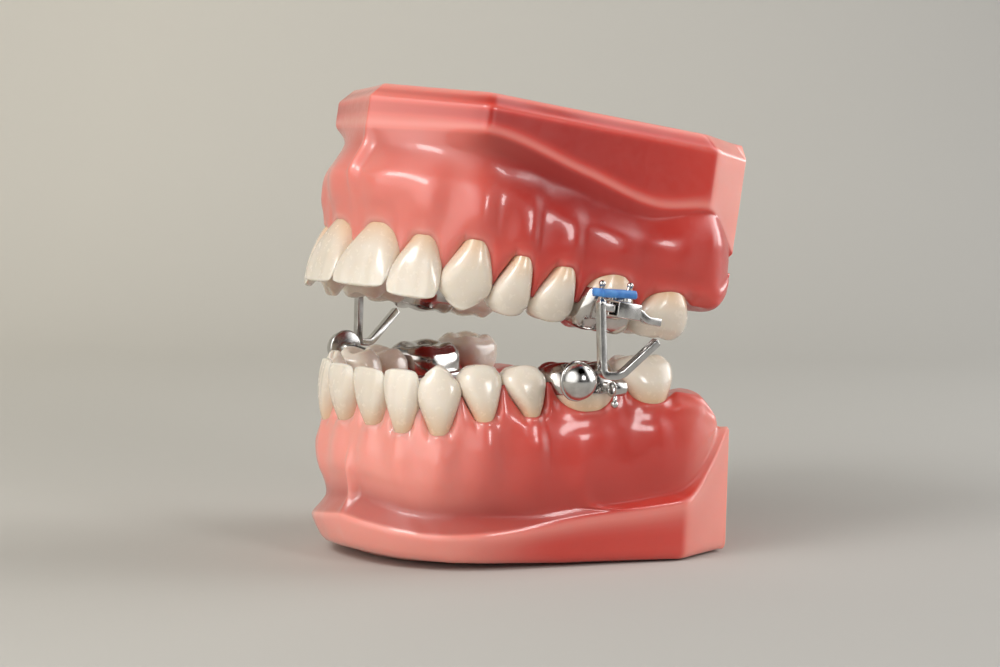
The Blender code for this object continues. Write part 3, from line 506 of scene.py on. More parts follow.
def sampledSection(corners, radii, steps=4):
    # Each corner of a section turned into a bend, with as many points in every section
    corners = np.asarray(corners, float)
    spans = np.linalg.norm(np.diff(corners[:, :3], axis=0), axis=1)
    path = [corners[0]]
    for i in range(1, len(corners) - 1):
        back = min(0.5, radii[i] / max(spans[i - 1], 1e-6))
        ahead = min(0.5, radii[i] / max(spans[i], 1e-6))
        a = corners[i] + (corners[i - 1] - corners[i]) * back
        b = corners[i] + (corners[i + 1] - corners[i]) * ahead
        for k in range(steps + 1):
            t = k / steps
            path.append((1 - t) ** 2 * a + 2 * t * (1 - t) * corners[i] + t * t * b)
    path.append(corners[-1])
    return np.array(path)


def toothFace(jaw, u, v):
    # Where the cheek face of the tooth stands at a station, measured out from the jaw's line
    number = min(int(u), 6)
    tooth = jaw.teeth[jaw.order[number]]
    form = toothForms[tooth["kind"]]
    level = v / (tooth["gum"] + tooth["tip"])
    flare, cheek, tongue = atLevel(form, level)
    width = tooth["wide"] / 2 * (tooth["neck"] + (1 - tooth["neck"]) * flare)
    x = min(abs((u - number - 0.5) * tooth["wide"] - neckShift(tooth, level)) / width, 1.0)
    power = np.interp(level, (0, 0.8), form["power"])
    y = (1 - x ** power) ** (1 / power)
    b = tooth["deep"] * ((cheek - tongue) / 2 + (cheek + tongue) / 2 * y)
    lean = math.radians(tooth["lean"])
    return b * math.cos(lean) + (v - 0.55 * tooth["gum"]) * math.sin(lean) - 0.53 * tooth["deep"]


def neckRise(tooth, x):
    # How far up the tooth its outline reaches a place beside its middle
    levels = np.linspace(0.0, 0.75, 40)
    flare = throughKnots(levels, toothLevels, toothForms[tooth["kind"]]["flare"])
    half = tooth["wide"] / 2 * (tooth["neck"] + (1 - tooth["neck"]) * flare)
    edge = 0.94 * half + neckShift(tooth, levels) * (1 if x > 0 else -1)
    return float(np.interp(abs(x), np.maximum.accumulate(edge), levels)) * (tooth["gum"] + tooth["tip"])


def gumSection(jaw, base, u):
    # A section through a base, from the midline over the gum and down the trimmed wall
    upper = jaw.direction > 0
    heel = max(u - 7.0, 0.0)
    s = np.interp(u, np.arange(8), jaw.contacts) + heel * base["heelLong"]
    point, _, normal = jaw.at(s)
    look = [jaw.teeth[name] for name in jaw.order]
    middles = np.concatenate([[-0.5], np.arange(7) + 0.5, [8.0]])

    def alongTeeth(key):
        values = [tooth[key] for tooth in look]
        return float(throughKnots(u, middles, [values[0]] + values + [values[-1]]))

    def along(key, which=1):
        return float(throughKnots(u, [k[0] for k in base[key]], [k[which] for k in base[key]]))

    def wallAt(t):
        wall, back = base["wall"], max(t - 8.0, 0.0)
        x = np.interp(abs(t), [k[0] for k in wall], [k[1] for k in wall]) * (1 if t >= 0 else -1)
        y = np.interp(abs(t), [k[0] for k in wall], [k[2] for k in wall])
        return np.array([x + back * (wall[-1][1] - wall[-2][1]), y + back * (wall[-1][2] - wall[-2][2])])

    def softWall(reach, count):
        return np.mean([wallAt(u + step) for step in np.linspace(-reach, reach, count)], axis=0)

    gum, deep = alongTeeth("gum"), alongTeeth("deep")
    leaned = -0.55 * gum * math.sin(math.radians(alongTeeth("lean")))
    tooth = look[min(int(u), 6)]
    # q runs from -1 to 1 over each tooth, with 0 where its margin is highest
    zenith = tooth["skew"] / tooth["wide"] * 2
    q = 2 * (u - math.floor(u)) - 1 if u < 7 else 1.0
    q = (q - zenith) / (1 - zenith) if q > zenith else (q - zenith) / (1 + zenith)
    scallop = float(np.interp(u, np.arange(7) + 0.5, base["scallop"]))
    ridge = scallop + base["papilla"]
    rise = neckRise(tooth, (u - math.floor(u) - 0.5) * tooth["wide"]) + 0.2 if u < 7 else ridge
    between = min(((0.6 * q * q + 0.4 * q ** 4) ** 5 + (rise / ridge) ** 5) ** 0.2, 1.0)
    ghost, late = float(eased(heel / 0.55)), float(eased((u - 6.5) / 0.5))
    hollow = 0.4 * (1 - math.cos(math.pi * q)) * (1 - late)
    between *= 1 - 0.65 * late
    bulge = along("bulge") * math.cos(0.5 * math.pi * q) ** 2
    frenum = base["frenum"] * math.exp(-(u / 0.11) ** 2)
    frenum += base["sideFrenum"] * math.exp(-((u - 5.33) / 0.14) ** 2)
    wx, wy = wallAt(u) if u > 7.8 or u < 0.3 else softWall(0.12, 7)
    softX, softY = softWall(0.5, 9)
    rim, fold, foldPaintedShade = along("rim"), along("rim") - along("body", 4), along("foldPaintedShade")
    midOut, lowOut, foldOut = along("body", 1), along("body", 2), along("body", 3)
    backY = base["wall"][-1][2]
    total, floor = base["tall"], base["floor"]
    sevenY = jaw.at(jaw.contacts[7])[0][1]
    pivotY = float(throughKnots(u, (0, 2, 3.5, 7, 8), (7.5, 11.5, 17.0, sevenY, backY)))
    tuck = (4.4 if upper else 2.6) * heel ** 1.8
    over = 1.1 * (1 - math.sqrt(max(1 - max((u - 7.82) / 0.18, 0.0) ** 2, 0.0)))
    crest = base["heelCrest"] + base["heelDrop"] * max(heel - 0.5, 0.0) ** 1.4
    lift = min(1.0, max(rim - crest, 0.0) / 9.0)
    nearMid = float(throughKnots(u, (0, 1.5, 3.5, 8), (3.0, 1.6, 0, 0)))
    # How strongly the cheek side takes painted shade and the rolled margin a painted highlight, and how much
    # painted light gum and wall take
    bodyPaintedShade, marginHighlight = along("bodyPaintedShade"), float(np.interp(u, (0, 1.9, 2.4, 8), (1.0, 0.9, 0.3, 0.1)))
    paintedLight, wallPaintedLight = along("paintedLight"), along("wallPaintedLight")
    corners, radii = [], []

    # Each corner carries a tint, painted shade where positive and a painted highlight where negative, and an
    # amount of painted light
    def add(x, y, h, radius=9.0, tint=0.0, paintedLightHere=None):
        corners.append((max(x, 0.0), y, h, tint, paintedLight if paintedLightHere is None else paintedLightHere))
        radii.append(radius)

    def off(n, h, radius=9.0, tint=0.0, heelN=None, heelRise=None):
        if heelN is not None:
            n = n * (1 - ghost) + heelN * ghost
            h = h * (1 - ghost) + (crest + over + heelRise * lift) * ghost
        xy = point + normal * (n - tuck - over)
        add(xy[0], xy[1], h, radius, tint * (1 - 0.8 * ghost))

    margin = gum - scallop * between
    face = -0.08 * deep + leaned
    recess = max(face - toothFace(jaw, u, scallop * between), 0.0) * (1 - ghost)
    recess = 1.2 * (1 - math.exp(-recess / 1.2))
    outer = face + 0.18 - recess
    inner = -1.01 * deep + leaned - 0.25 + 0.75 * recess
    pivot = np.array([0.0, pivotY])
    start = point + normal * (inner - 0.8 - tuck)

    # Palate or floor of the mouth, from the midline out, reddened a little with painted shade
    add(0.0, pivotY, floor - nearMid, tint=0.35)
    for share, h in ((0.66, floor - 0.3 - 0.9 * nearMid), (0.42, floor - 0.9 - 0.9 * nearMid),
                     (0.22, 0.72 * (floor - nearMid) + 0.28 * (gum + 4.5)), (0.09, gum + 5.0)):
        xy = start + (pivot - start) * share
        add(xy[0], xy[1], h, tint=0.3)

    # Over the ridge, between and under the teeth, reddened with painted shade at the crest and between teeth
    off(inner - 0.5, gum + 3.0, 9.0, 0.0, -1.02 * deep, 3.8)
    off(inner - 0.25 * (1 - between), gum - 0.5 * scallop * between + 1.2, 9.0, 0.0, -0.98 * deep, 2.2)
    off(inner + 0.1 + 0.8 * between, gum - (0.6 * scallop + 1.0) * between + 0.05, 9.0, 0.1 + 0.2 * between,
        -0.90 * deep, 0.8)
    off(inner + 1.5, gum + 0.4 - (ridge * 0.85) * between, 9.0, 0.35, -0.78 * deep, 0.1)
    off(-0.66 * deep, gum + 0.8 - ridge * between, 9.0, 0.4, -0.6 * deep, 0.0)
    off(-0.36 * deep + leaned * 0.4, gum + 0.8 - ridge * between, 9.0, 0.4, -0.4 * deep, 0.0)
    off(outer - 1.3, gum + 0.3 - ridge * 0.98 * between, 9.0, 0.4, -0.22 * deep, 0.2)
    off(outer - 0.25 - 0.25 * between, gum - 0.1 - (ridge * 0.92) * between, 9.0, 0.1 + 0.35 * between,
        -0.08 * deep, 0.6)

    # Down the cheek side: rolled margin with a painted highlight, roots, and fold, with painted shade down the
    # side and into the fold
    off(outer + 0.22 - 0.1 * between, margin + 0.3 - 0.75 * between, 2.0,
        -2.5 * marginHighlight * (1 - between) + 0.1 * between, 0.02 * deep, 1.3)
    off(face + 0.42 - 0.8 * hollow, 0.8 * margin + 0.2 * gum + 1.0, 9.0, -0.1, 0.25, 2.2)
    off(face + 0.45 - 0.5 * hollow + 0.45 * bulge, 0.5 * margin + 0.5 * gum + 2.3, 9.0, 0.35 * bodyPaintedShade, 0.45, 3.2)
    top = (gum + 3.9) * (1 - ghost) + (crest + 4.5 * lift) * ghost
    off(0.5 * (face + 0.6) + 0.5 * midOut - 0.3 * hollow + 0.9 * bulge + 0.2 * frenum, top, 9.0,
        0.6 * bodyPaintedShade - 0.05)
    off(midOut + 0.7 * bulge + 0.7 * frenum, 0.52 * top + 0.48 * fold, 9.0, 0.8 * bodyPaintedShade)
    off(lowOut + 0.3 * bulge + frenum, 0.22 * top + 0.78 * fold, 9.0, bodyPaintedShade)
    ax, ay = point + normal * (foldOut - tuck + 1.2 * frenum)
    bodyCount = len(corners)
    add(ax + (softX - ax) * 0.22, ay + (softY - ay) * 0.22, fold + 0.26 * (rim - fold), 9.0,
        0.95 * foldPaintedShade - 0.3 * frenum)
    add(ax + (0.7 * softX + 0.3 * wx - ax) * 0.58, ay + (0.7 * softY + 0.3 * wy - ay) * 0.58,
        fold + 0.62 * (rim - fold), 9.0, 0.8 * foldPaintedShade)
    add(ax + (wx - ax) * 0.92, ay + (wy - ay) * 0.92, rim - 0.15, 0.5, 0.75 * foldPaintedShade, paintedLight)

    # The trimmed wall and its bevel or foot, with painted highlights on their edges, painted shade on shaded walls
    # and painted light where the lamps fall
    add(wx, wy, rim + 0.55, 0.5, -1.3, wallPaintedLight)
    wallPaintedShade = along("wallPaintedShade")
    if upper:
        bevel = base["bevel"]
        inward = np.array([0.0, 24.0]) - (wx, wy)
        ix, iy = inward / np.linalg.norm(inward) * bevel
        add(wx, wy, rim + 2.0, 0.9, wallPaintedShade, wallPaintedLight)
        add(wx, wy, total - bevel - 0.9, 0.3, wallPaintedShade, wallPaintedLight)
        add(wx, wy, total - bevel, 0.4, -0.5, wallPaintedLight)
        add(wx + ix * 0.5, wy + iy * 0.5, total - 0.5 * bevel, 9.0, 0.3 + 1.1 * wallPaintedShade, wallPaintedLight)
        add(wx + ix, wy + iy, total, 0.4, -1.2, 0.7 + 0.3 * wallPaintedLight)
    else:
        foot = base["foot"]
        fx = np.interp(u, [k[0] for k in foot], [k[1] for k in foot])
        fy = np.interp(u, [k[0] for k in foot], [k[2] for k in foot])
        edge = np.interp(u, [0, 2, 4, 8], [2.3, 1.2, 0.5, 0.3])
        add(wx * 0.92 + fx * 0.08, wy * 0.92 + fy * 0.08, 0.6 * rim + 0.4 * total, 9.0, wallPaintedShade, wallPaintedLight)
        add(wx * 0.8 + fx * 0.2, wy * 0.8 + fy * 0.2, total - edge, 1.6, -0.1, wallPaintedLight)
        add(fx, fy, total, 0.8, 0.0, wallPaintedLight)
    add(0.0, pivotY, total)

    # Nothing folds back on itself or reaches behind the flat back face
    section = np.array(corners)
    outside = slice(12, len(section) - 1)
    section[outside, 2] = np.maximum.accumulate(section[outside, 2])
    limit, easy = backY - 2.2 * (8 - u), 0.9
    y = section[:bodyCount + 1, 1]
    section[:bodyCount + 1, 1] = limit - easy * np.logaddexp(0.0, (limit - y) / easy)
    section[:, 1] = np.minimum(section[:, 1], limit)
    if u > 7.999:
        section[:, 1] = backY
    if u == 0:
        section[:, 0] = 0.0
    section[:, 2] = layout["biteHeight"] + jaw.direction * section[:, 2]
    return sampledSection(section, radii)


def makeGumBase(jaw, base):
    heelStations = [7.93, 7.95, 7.97, 7.98, 7.99, 7.996]
    us = np.unique(np.concatenate([np.linspace(0, 7, 7 * 26 + 1), np.linspace(7, 8, 25), heelStations]).round(5))
    left = [gumSection(jaw, base, float(u)) for u in us]
    right = [section * (-1.0, 1.0, 1.0, 1.0, 1.0) for section in left[:0:-1]]
    rows = right + left
    size, last = len(rows[0]), (len(rows) - 1) * len(rows[0])
    faces = ringFaces(size, len(rows), wrap=False, caps=False)
    faces.append(tuple(range(0, size)) + tuple(range(last + size - 1, last - 1, -1)))
    grid = np.concatenate(rows)
    made = makeMesh(jaw.name + "_gum_resin", jaw.shown(grid[:, :3]), faces, gumPaint, sharpAngle=50.0,
                    tints={"tint": grid[:, 3], "paintedLight": grid[:, 4]})
    return fitted(made, jaw.name + "_jaw", "pink_acrylic", jaw.name + "_gum_base")


makeGumBase(lowerJaw, lowerBase)
makeGumBase(upperJaw, upperBase)
print("stage: gum bases made")


# Appliance

appliance = dict(wire=1.25, tubeX=31.2, tubeZ=33.5, tubeFront=28.0, tubeBack=32.6, skin=0.35, legY=25.2,
                 hookX=31.6, hookY=29.9, bandZ=36.6, bandTall=1.25, bandThick=0.65, armRound=2.2,
                 button=(29.95, 19.9, 29.6), buttonRound=6.2, buttonRim=0.6, buttonDome=2.9,
                 archTube=(27.5, 30.3, 27.6), archWire=1.0, gap=0.3)


def bent(points, radius, steps=8):
    points = [np.array(p, float) for p in points]
    path = [points[0]]
    for before, corner, after in zip(points, points[1:], points[2:]):
        a = corner + (before - corner) / np.linalg.norm(before - corner) * radius
        b = corner + (after - corner) / np.linalg.norm(after - corner) * radius
        for k in range(steps + 1):
            t = k / steps
            path.append((1 - t) ** 2 * a + 2 * t * (1 - t) * corner + t * t * b)
    path.append(points[-1])
    return np.array(path)


def roundProfile(radius, sides=24):
    turn = np.linspace(0, 2 * math.pi, sides, endpoint=False)
    return np.stack([radius * np.cos(turn), radius * np.sin(turn)], -1)


def squareProfile(wide, tall, corner, steps=4):
    points = []
    for sx, sy, first in ((1, 1, 0), (-1, 1, 90), (-1, -1, 180), (1, -1, 270)):
        for k in range(steps + 1):
            turn = math.radians(first + 90 * k / steps)
            points.append((sx * (wide / 2 - corner) + corner * math.cos(turn),
                           sy * (tall / 2 - corner) + corner * math.sin(turn)))
    return np.array(points)


def carried(path, profile, sideways=(1.0, 0.0, 0.0), sizes=None, roundEnds=0.0):
    # A profile carried along a path, its ends rounded over
    path = np.array(path, float)
    sizes = np.ones(len(path)) if sizes is None else np.array(sizes, float)
    if roundEnds > 0:
        reach = np.abs(profile).max()
        arc = [(roundEnds * (1 - math.cos(a)), 1 - roundEnds / reach * (1 - math.sin(a)))
               for a in np.linspace(0, math.pi / 2, 5)]
        first, last = path[1] - path[0], path[-2] - path[-1]
        first, last = first / np.linalg.norm(first), last / np.linalg.norm(last)
        head = [(path[0] + first * step, sizes[0] * size) for step, size in arc]
        tail = [(path[-1] + last * step, sizes[-1] * size) for step, size in arc[::-1]]
        path = np.array([p for p, _ in head] + list(path[1:-1]) + [p for p, _ in tail])
        sizes = np.array([z for _, z in head] + list(sizes[1:-1]) + [z for _, z in tail])
    rings = []
    for i, at in enumerate(path):
        along = path[min(i + 1, len(path) - 1)] - path[max(i - 1, 0)]
        along = along / np.linalg.norm(along)
        side = np.array(sideways) - along * np.dot(sideways, along)
        side = side / np.linalg.norm(side)
        up = np.cross(along, side)
        rings.append(at + sizes[i] * (np.outer(profile[:, 0], side) + np.outer(profile[:, 1], up)))
    return np.concatenate(rings), ringFaces(len(profile), len(path))


def openTube(start, end, outer, inner, sideways=(1.0, 0.0, 0.0), edge=0.08):
    # A tube with its bore right through: outside, rounded rim, bore and back
    start, end = np.array(start, float), np.array(end, float)
    along = (end - start) / np.linalg.norm(end - start)
    side = np.array(sideways) - along * np.dot(sideways, along)
    side = side / np.linalg.norm(side)
    up = np.cross(along, side)

    def ring(at, profile, grow=0.0):
        reach = np.abs(profile).max()
        shape = profile * (1 + grow / reach)
        return at + np.outer(shape[:, 0], side) + np.outer(shape[:, 1], up)

    rings = [ring(start, outer, -edge), ring(start + along * edge * 0.3, outer, -edge * 0.3),
             ring(start + along * edge, outer), ring(end - along * edge, outer),
             ring(end - along * edge * 0.3, outer, -edge * 0.3), ring(end, outer, -edge),
             ring(end, inner, edge), ring(end - along * edge, inner),
             ring(start + along * edge, inner), ring(start, inner, edge)]
    count, faces = len(outer), ringFaces(len(outer), len(rings), caps=False)
    last = (len(rings) - 1) * count
    faces += [(last + j, last + (j + 1) % count, (j + 1) % count, j) for j in range(count)]
    return np.concatenate(rings), faces


def ballShape(centre, radius, sides=20, rings=12, stretch=(1, 1, 1)):
    points = []
    for k in range(rings + 1):
        a = math.pi * k / rings
        for j in range(sides):
            t = 2 * math.pi * j / sides
            outward = (math.sin(a) * math.cos(t), -math.cos(a), math.sin(a) * math.sin(t))
            points.append(np.array(centre) + radius * np.array(stretch) * outward)
    return np.array(points), ringFaces(sides, rings + 1, caps=False)


def joinedShapes(*shapes):
    points, faces, count = [], [], 0
    for shapePoints, shapeFaces in shapes:
        points.append(np.asarray(shapePoints, float))
        faces += [tuple(i + count for i in face) for face in shapeFaces]
        count += len(shapePoints)
    return np.concatenate(points), faces


def steelPiece(jaw, side, part, shapes, sharpAngle=45.0, ofPart=True):
    # Shapes joined into one piece, drawn on the left and mirrored for the right
    points, faces = joinedShapes(*shapes)
    node = f"{jaw.name}_{side}_{part}"
    made = makeMesh(node + "_steel", jaw.shown(points), faces, steelPaint, side == "right", sharpAngle)
    return fitted(made, jaw.name + "_jaw", "polished_steel", *([node] if ofPart else []))


crown = dict(sides=72, start=2.4, outside=0.14, inside=0.02, rim=0.06)


def makeCrown(jaw, side):
    # A thin polished cap drawn over the first molar, its rim a little above the gum
    tooth, sides = jaw.teeth[jaw.order[5]], crown["sides"]
    start = crown["start"] / (tooth["gum"] + tooth["tip"])
    outside, _ = toothRings(tooth, sides, fromLevel=start, grow=crown["outside"])
    inside, _ = toothRings(tooth, sides, fromLevel=start, grow=crown["inside"])
    outer, inner = outside[0], inside[0]
    rim = (outer[0] * 0.5 + inner[0] * 0.5, outer[1] * 0.5 + inner[1] * 0.5, outer[2] - crown["rim"])
    rings = outside[::-1] + [rim] + inside
    points = np.concatenate([jaw.place(5, *ring) for ring in rings])
    faces = ringFaces(sides, len(rings), caps=False)
    node = f"{jaw.name}_{side}_molar_crown"
    made = makeMesh(node + "_steel", jaw.shown(points), faces, crownPaint, side == "right")
    return fitted(made, jaw.name + "_jaw", "polished_steel", node)


def makeUpperSide(side):
    a = appliance
    x, z, wire = a["tubeX"], a["tubeZ"], a["wire"]
    bore = wire + 2 * a["gap"]
    outerSide = bore + 2 * a["skin"]
    front, back = a["tubeFront"], a["tubeBack"]
    hookX, hookY, bandZ = a["hookX"], a["hookY"], a["bandZ"]
    # The square tube, the small round one over it, the two foot plates and the hook with its ball
    shapes = [openTube((x, front, z), (x, back, z), squareProfile(outerSide, outerSide, 0.3),
                       squareProfile(bore, bore, 0.12)),
              openTube((x - 2.0, front + 0.2, z + 2.0), (x - 2.0, back - 0.2, z + 2.0),
                       roundProfile(0.95), roundProfile(0.55)),
              carried([(x - 1.6, front + 0.4, z + 0.6), (x - 1.6, back - 0.4, z + 0.6)],
                      squareProfile(1.6, 3.0, 0.5), roundEnds=0.3),
              carried([(x - 3.4, front + 0.2, z + 0.3), (x - 3.4, back - 0.2, z + 0.3)],
                      squareProfile(2.6, 3.6, 0.9), roundEnds=0.8),
              carried([(hookX - 0.1, hookY, z + bore / 2), (hookX, hookY, z + 2.2),
                       (hookX + 0.2, hookY + 0.25, bandZ + 0.7)], roundProfile(0.38), roundEnds=0.2),
              ballShape((hookX + 0.2, hookY + 0.25, bandZ + 0.75), 0.52)]
    steelPiece(upperJaw, side, "elbow_tube", shapes)
    # The elbow: a leg down from the ligature's knob, its V and the rising arm, and the bar through the tube
    y = a["legY"]
    leg = bent([(x + 0.3, y - 0.3, bandZ + 0.2), (x + 0.2, y, z + 0.4), (x + 0.7, y + 2.0, z - 10.3),
                (x + 1.3, y + 4.9, z - 10.0), (x + 2.5, y + 10.3, z - 3.9)], 1.1)
    sizes = np.interp(leg[:, 2], [z + wire / 2, z + wire / 2 + 0.4], [1.0, 0.55])
    bar = bent([(x + 0.2, y, z), (x, front - 1.4, z), (x, back + 0.6, z), (x + 0.2, back + 2.0, z - 0.9),
                (x + 0.2, back + 4.8, z - 0.9)], 0.5, 5)
    square = squareProfile(wire, wire, 0.22)
    shapes = [carried(leg, square, sizes=sizes, roundEnds=0.12), carried(bar, square, roundEnds=0.12),
              ballShape((x + 0.3, y - 0.35, bandZ + 0.3), 0.55)]
    steelPiece(upperJaw, side, "elbow", shapes)


def makeLowerSide(side):
    a = appliance
    bx, by, bz = a["button"]
    # The arm, with a foot where it leaves the crown, and the domed button turned about its end
    path = bent([(22.6, 26.2, 27.4), (26.4, 21.6, 28.7), (bx - 1.4, by, bz), (bx + 0.3, by, bz)], 1.2, 6)
    radius, rim, dome = a["buttonRound"] / 2, a["buttonRim"], a["buttonDome"]
    profile = [(0.0, 0.0), (0.0, radius - 0.25), (0.08, radius - 0.06), (0.22, radius), (rim * 0.7, radius),
               (rim * 0.9, radius - 0.06), (rim, radius - 0.2)]
    for k in range(1, 15):
        turn = 0.5 * math.pi * k / 14
        profile.append((rim + dome * math.sin(turn), (radius - 0.2) * math.cos(turn)))
    sides = 48
    turns = np.linspace(0, 2 * math.pi, sides, endpoint=False)
    points = [np.stack([np.full(sides, bx + out), by + r * np.cos(turns), bz + r * np.sin(turns)], -1)
              for out, r in profile]
    shapes = [(np.concatenate(points), ringFaces(sides, len(profile), caps=False)),
              carried(path, roundProfile(a["armRound"] / 2), (0.0, 0.0, 1.0)),
              ballShape((24.6, 23.8, 28.1), 1.7, stretch=(1.2, 1.0, 0.75))]
    steelPiece(lowerJaw, side, "arm", shapes, 60.0)
    # The round tube under the button, its foot and its hook with a ball
    x, y, z = a["archTube"]
    shapes = [openTube((x, y - 1.1, z), (x, y + 1.1, z), roundProfile(1.3, 32), roundProfile(0.78, 32)),
              carried([(x - 3.4, y, z), (x - 1.1, y, z)], squareProfile(1.7, 1.6, 0.4), (0.0, 1.0, 0.0)),
              carried(bent([(x + 0.2, y - 0.5, z - 1.1), (x + 0.45, y - 0.7, z - 1.8),
                            (x + 0.35, y - 0.7, z - 2.4)], 0.3), roundProfile(0.34, 16)),
              ballShape((x + 0.35, y - 0.7, z - 2.45), 0.6)]
    steelPiece(lowerJaw, side, "archwire_tube", shapes)


for side in ("left", "right"):
    makeCrown(upperJaw, side)
    makeCrown(lowerJaw, side)
    makeUpperSide(side)
    makeLowerSide(side)
print("stage: crowns, tubes, elbows and arms made")


def wireTree():
    # A node tree that turns a line of points into a solid wire or band
    tree = bpy.data.node_groups.new("pathToWire", "GeometryNodeTree")
    tree.interface.new_socket("Geometry", in_out="INPUT", socket_type="NodeSocketGeometry")
    for label, value in (("Half Width", 0.0005), ("Half Height", 0.0005), ("Smoothness", 6)):
        kind = "NodeSocketInt" if label == "Smoothness" else "NodeSocketFloat"
        tree.interface.new_socket(label, in_out="INPUT", socket_type=kind).default_value = value
    tree.interface.new_socket("Finish", in_out="INPUT", socket_type="NodeSocketMaterial")
    tree.interface.new_socket("Geometry", in_out="OUTPUT", socket_type="NodeSocketGeometry")
    node = tree.nodes.new
    enter, leave = node("NodeGroupInput"), node("NodeGroupOutput")
    toCurve, smooth = node("GeometryNodeMeshToCurve"), node("GeometryNodeCurveSplineType")
    smooth.spline_type = "CATMULL_ROM"
    resolution, normal = node("GeometryNodeSetSplineResolution"), node("GeometryNodeSetCurveNormal")
    normal.mode = "Z_UP"
    profile, scaled = node("GeometryNodeCurvePrimitiveCircle"), node("GeometryNodeTransform")
    profile.inputs["Resolution"].default_value = 24
    profile.inputs["Radius"].default_value = 1.0
    scale = node("ShaderNodeCombineXYZ")
    scale.inputs["Z"].default_value = 1.0
    sweep, shade = node("GeometryNodeCurveToMesh"), node("GeometryNodeSetShadeSmooth")
    sweep.inputs["Fill Caps"].default_value = True
    realize, paint = node("GeometryNodeRealizeInstances"), node("GeometryNodeSetMaterial")
    for start, out, end, into in (
            (enter, "Geometry", toCurve, "Mesh"), (toCurve, "Curve", smooth, "Curve"),
            (smooth, "Curve", resolution, "Geometry"), (enter, "Smoothness", resolution, "Resolution"),
            (resolution, "Geometry", normal, "Curve"), (normal, "Curve", sweep, "Curve"),
            (enter, "Half Width", scale, "X"), (enter, "Half Height", scale, "Y"),
            (profile, "Curve", scaled, "Geometry"), (scale, "Vector", scaled, "Scale"),
            (scaled, "Geometry", sweep, "Profile Curve"), (sweep, "Mesh", shade, "Geometry"),
            (shade, "Geometry", realize, "Geometry"), (realize, "Geometry", paint, "Geometry"),
            (enter, "Finish", paint, "Material"), (paint, "Geometry", leave, "Geometry")):
        tree.links.new(start.outputs[out], end.inputs[into])
    return tree


pathToWire = wireTree()


def wirePiece(name, path, closed, halfWidth, halfHeight, smoothness, material):
    placed = (np.array(path, float) - (0.0, layout["frameBack"], 0.0)) * millimetre
    count = len(placed)
    mesh = bpy.data.meshes.new(name + "_path")
    mesh.from_pydata(placed.tolist(), [(i, (i + 1) % count) for i in range(count if closed else count - 1)], [])
    holder = bpy.data.objects.new(name + "_path", mesh)
    bpy.context.scene.collection.objects.link(holder)
    modifier = holder.modifiers.new("wire", "NODES")
    modifier.node_group = pathToWire
    values = {"Half Width": halfWidth * millimetre, "Half Height": halfHeight * millimetre,
              "Smoothness": smoothness, "Finish": material}
    for item in pathToWire.interface.items_tree:
        if item.item_type == "SOCKET" and item.in_out == "INPUT" and item.name in values:
            modifier[item.identifier] = values[item.name]
    graph = bpy.context.evaluated_depsgraph_get()
    finished = bpy.data.meshes.new_from_object(holder.evaluated_get(graph))
    bpy.data.objects.remove(holder)
    work = bmesh.new()
    work.from_mesh(finished)
    bmesh.ops.remove_doubles(work, verts=work.verts, dist=1e-7)
    bmesh.ops.recalc_face_normals(work, faces=work.faces)
    if work.calc_volume(signed=True) < 0:
        bmesh.ops.reverse_faces(work, faces=work.faces)
    work.to_mesh(finished)
    work.free()
    finished.name = name
    if not finished.materials:
        finished.materials.append(material)
    made = bpy.data.objects.new(name, finished)
    bpy.context.scene.collection.objects.link(made)
    return made


def makeLingualArch():
    half, radius = [], appliance["archWire"] / 2
    for s in np.linspace(1.5, lowerJaw.contacts[6] - 2.5, 16):
        point, _, normal = lowerJaw.at(s)
        u = np.interp(s, lowerJaw.contacts, np.arange(8))
        deep = np.interp(u, np.arange(7) + 0.5, [tooth["deep"] for tooth in lowerTeeth.values()])
        xy = point - normal * (deep + 1.0 + radius)
        half.append((xy[0], xy[1], layout["biteHeight"] - np.interp(u, [0, 3, 6], [6.5, 5.6, 4.6])))
    half = np.array(half)
    path = np.concatenate([half[::-1], half * (-1.0, 1.0, 1.0)])
    made = wirePiece("lower_lingual_arch_wire", path, False, radius, radius, 6, steelPaint)
    fitted(made, "lower_jaw", "polished_steel", "lower_lingual_arch")
    # A flattened tongue at each end, soldered to the crown
    tongue = carried(half[-3:] + (0.15, 0.0, 0.0), squareProfile(1.5, 2.3, 0.6), (0.0, 0.0, 1.0), roundEnds=0.5)
    for side in ("left", "right"):
        steelPiece(lowerJaw, side, "arch_end", [tongue], ofPart=False)


def makeLigature(side):
    a = appliance
    ring = a["wire"] * 0.3 * math.sqrt(2) + a["gap"] + a["bandThick"] / 2
    ends = ((a["tubeX"] + 0.3, a["legY"] - 0.25, 1.1, math.pi),  # round the elbow's top
            (a["hookX"] + 0.1, a["hookY"] + 0.1, 0.6, 0.0))  # and round the hook
    loop = []
    for x, y, low, begin in ends:
        for k in range(7):
            turn = begin + math.pi * k / 6
            loop.append((x + ring * math.cos(turn), y + ring * math.sin(turn), a["bandZ"] - low))
    path = swingOpen(loop)
    if side == "right":
        path = path * (-1.0, 1.0, 1.0)
    made = wirePiece(f"upper_{side}_ligature_elastic", path, True, a["bandThick"] / 2, a["bandTall"] / 2, 6,
                     bandPaint)
    fitted(made, "upper_jaw", "blue_elastic", f"upper_{side}_ligature")


makeLingualArch()
for side in ("left", "right"):
    makeLigature(side)
print("stage: wires made")


# Floor, light and camera

photograph = dict(azimuth=51.7, elevation=5.26, roll=0.49, aim=(0.0, -1.0, 32.0), distance=437.2, right=3.19,
                  up=2.20, lens=98.16, sensor=36.0)
# The floor's two colours and two shades paint how the light falls across it
stageLook = dict(floorLitWarm=(0.66, 0.63, 0.56), floorShadedCool=(0.465, 0.46, 0.445), nearShade=(0.80, 0.80, 0.80),
                 farShade=(1.05, 1.05, 1.05), front=1.6, back=0.55, tall=1.4, bend=0.25, halfWide=2.2, drop=0.0002)


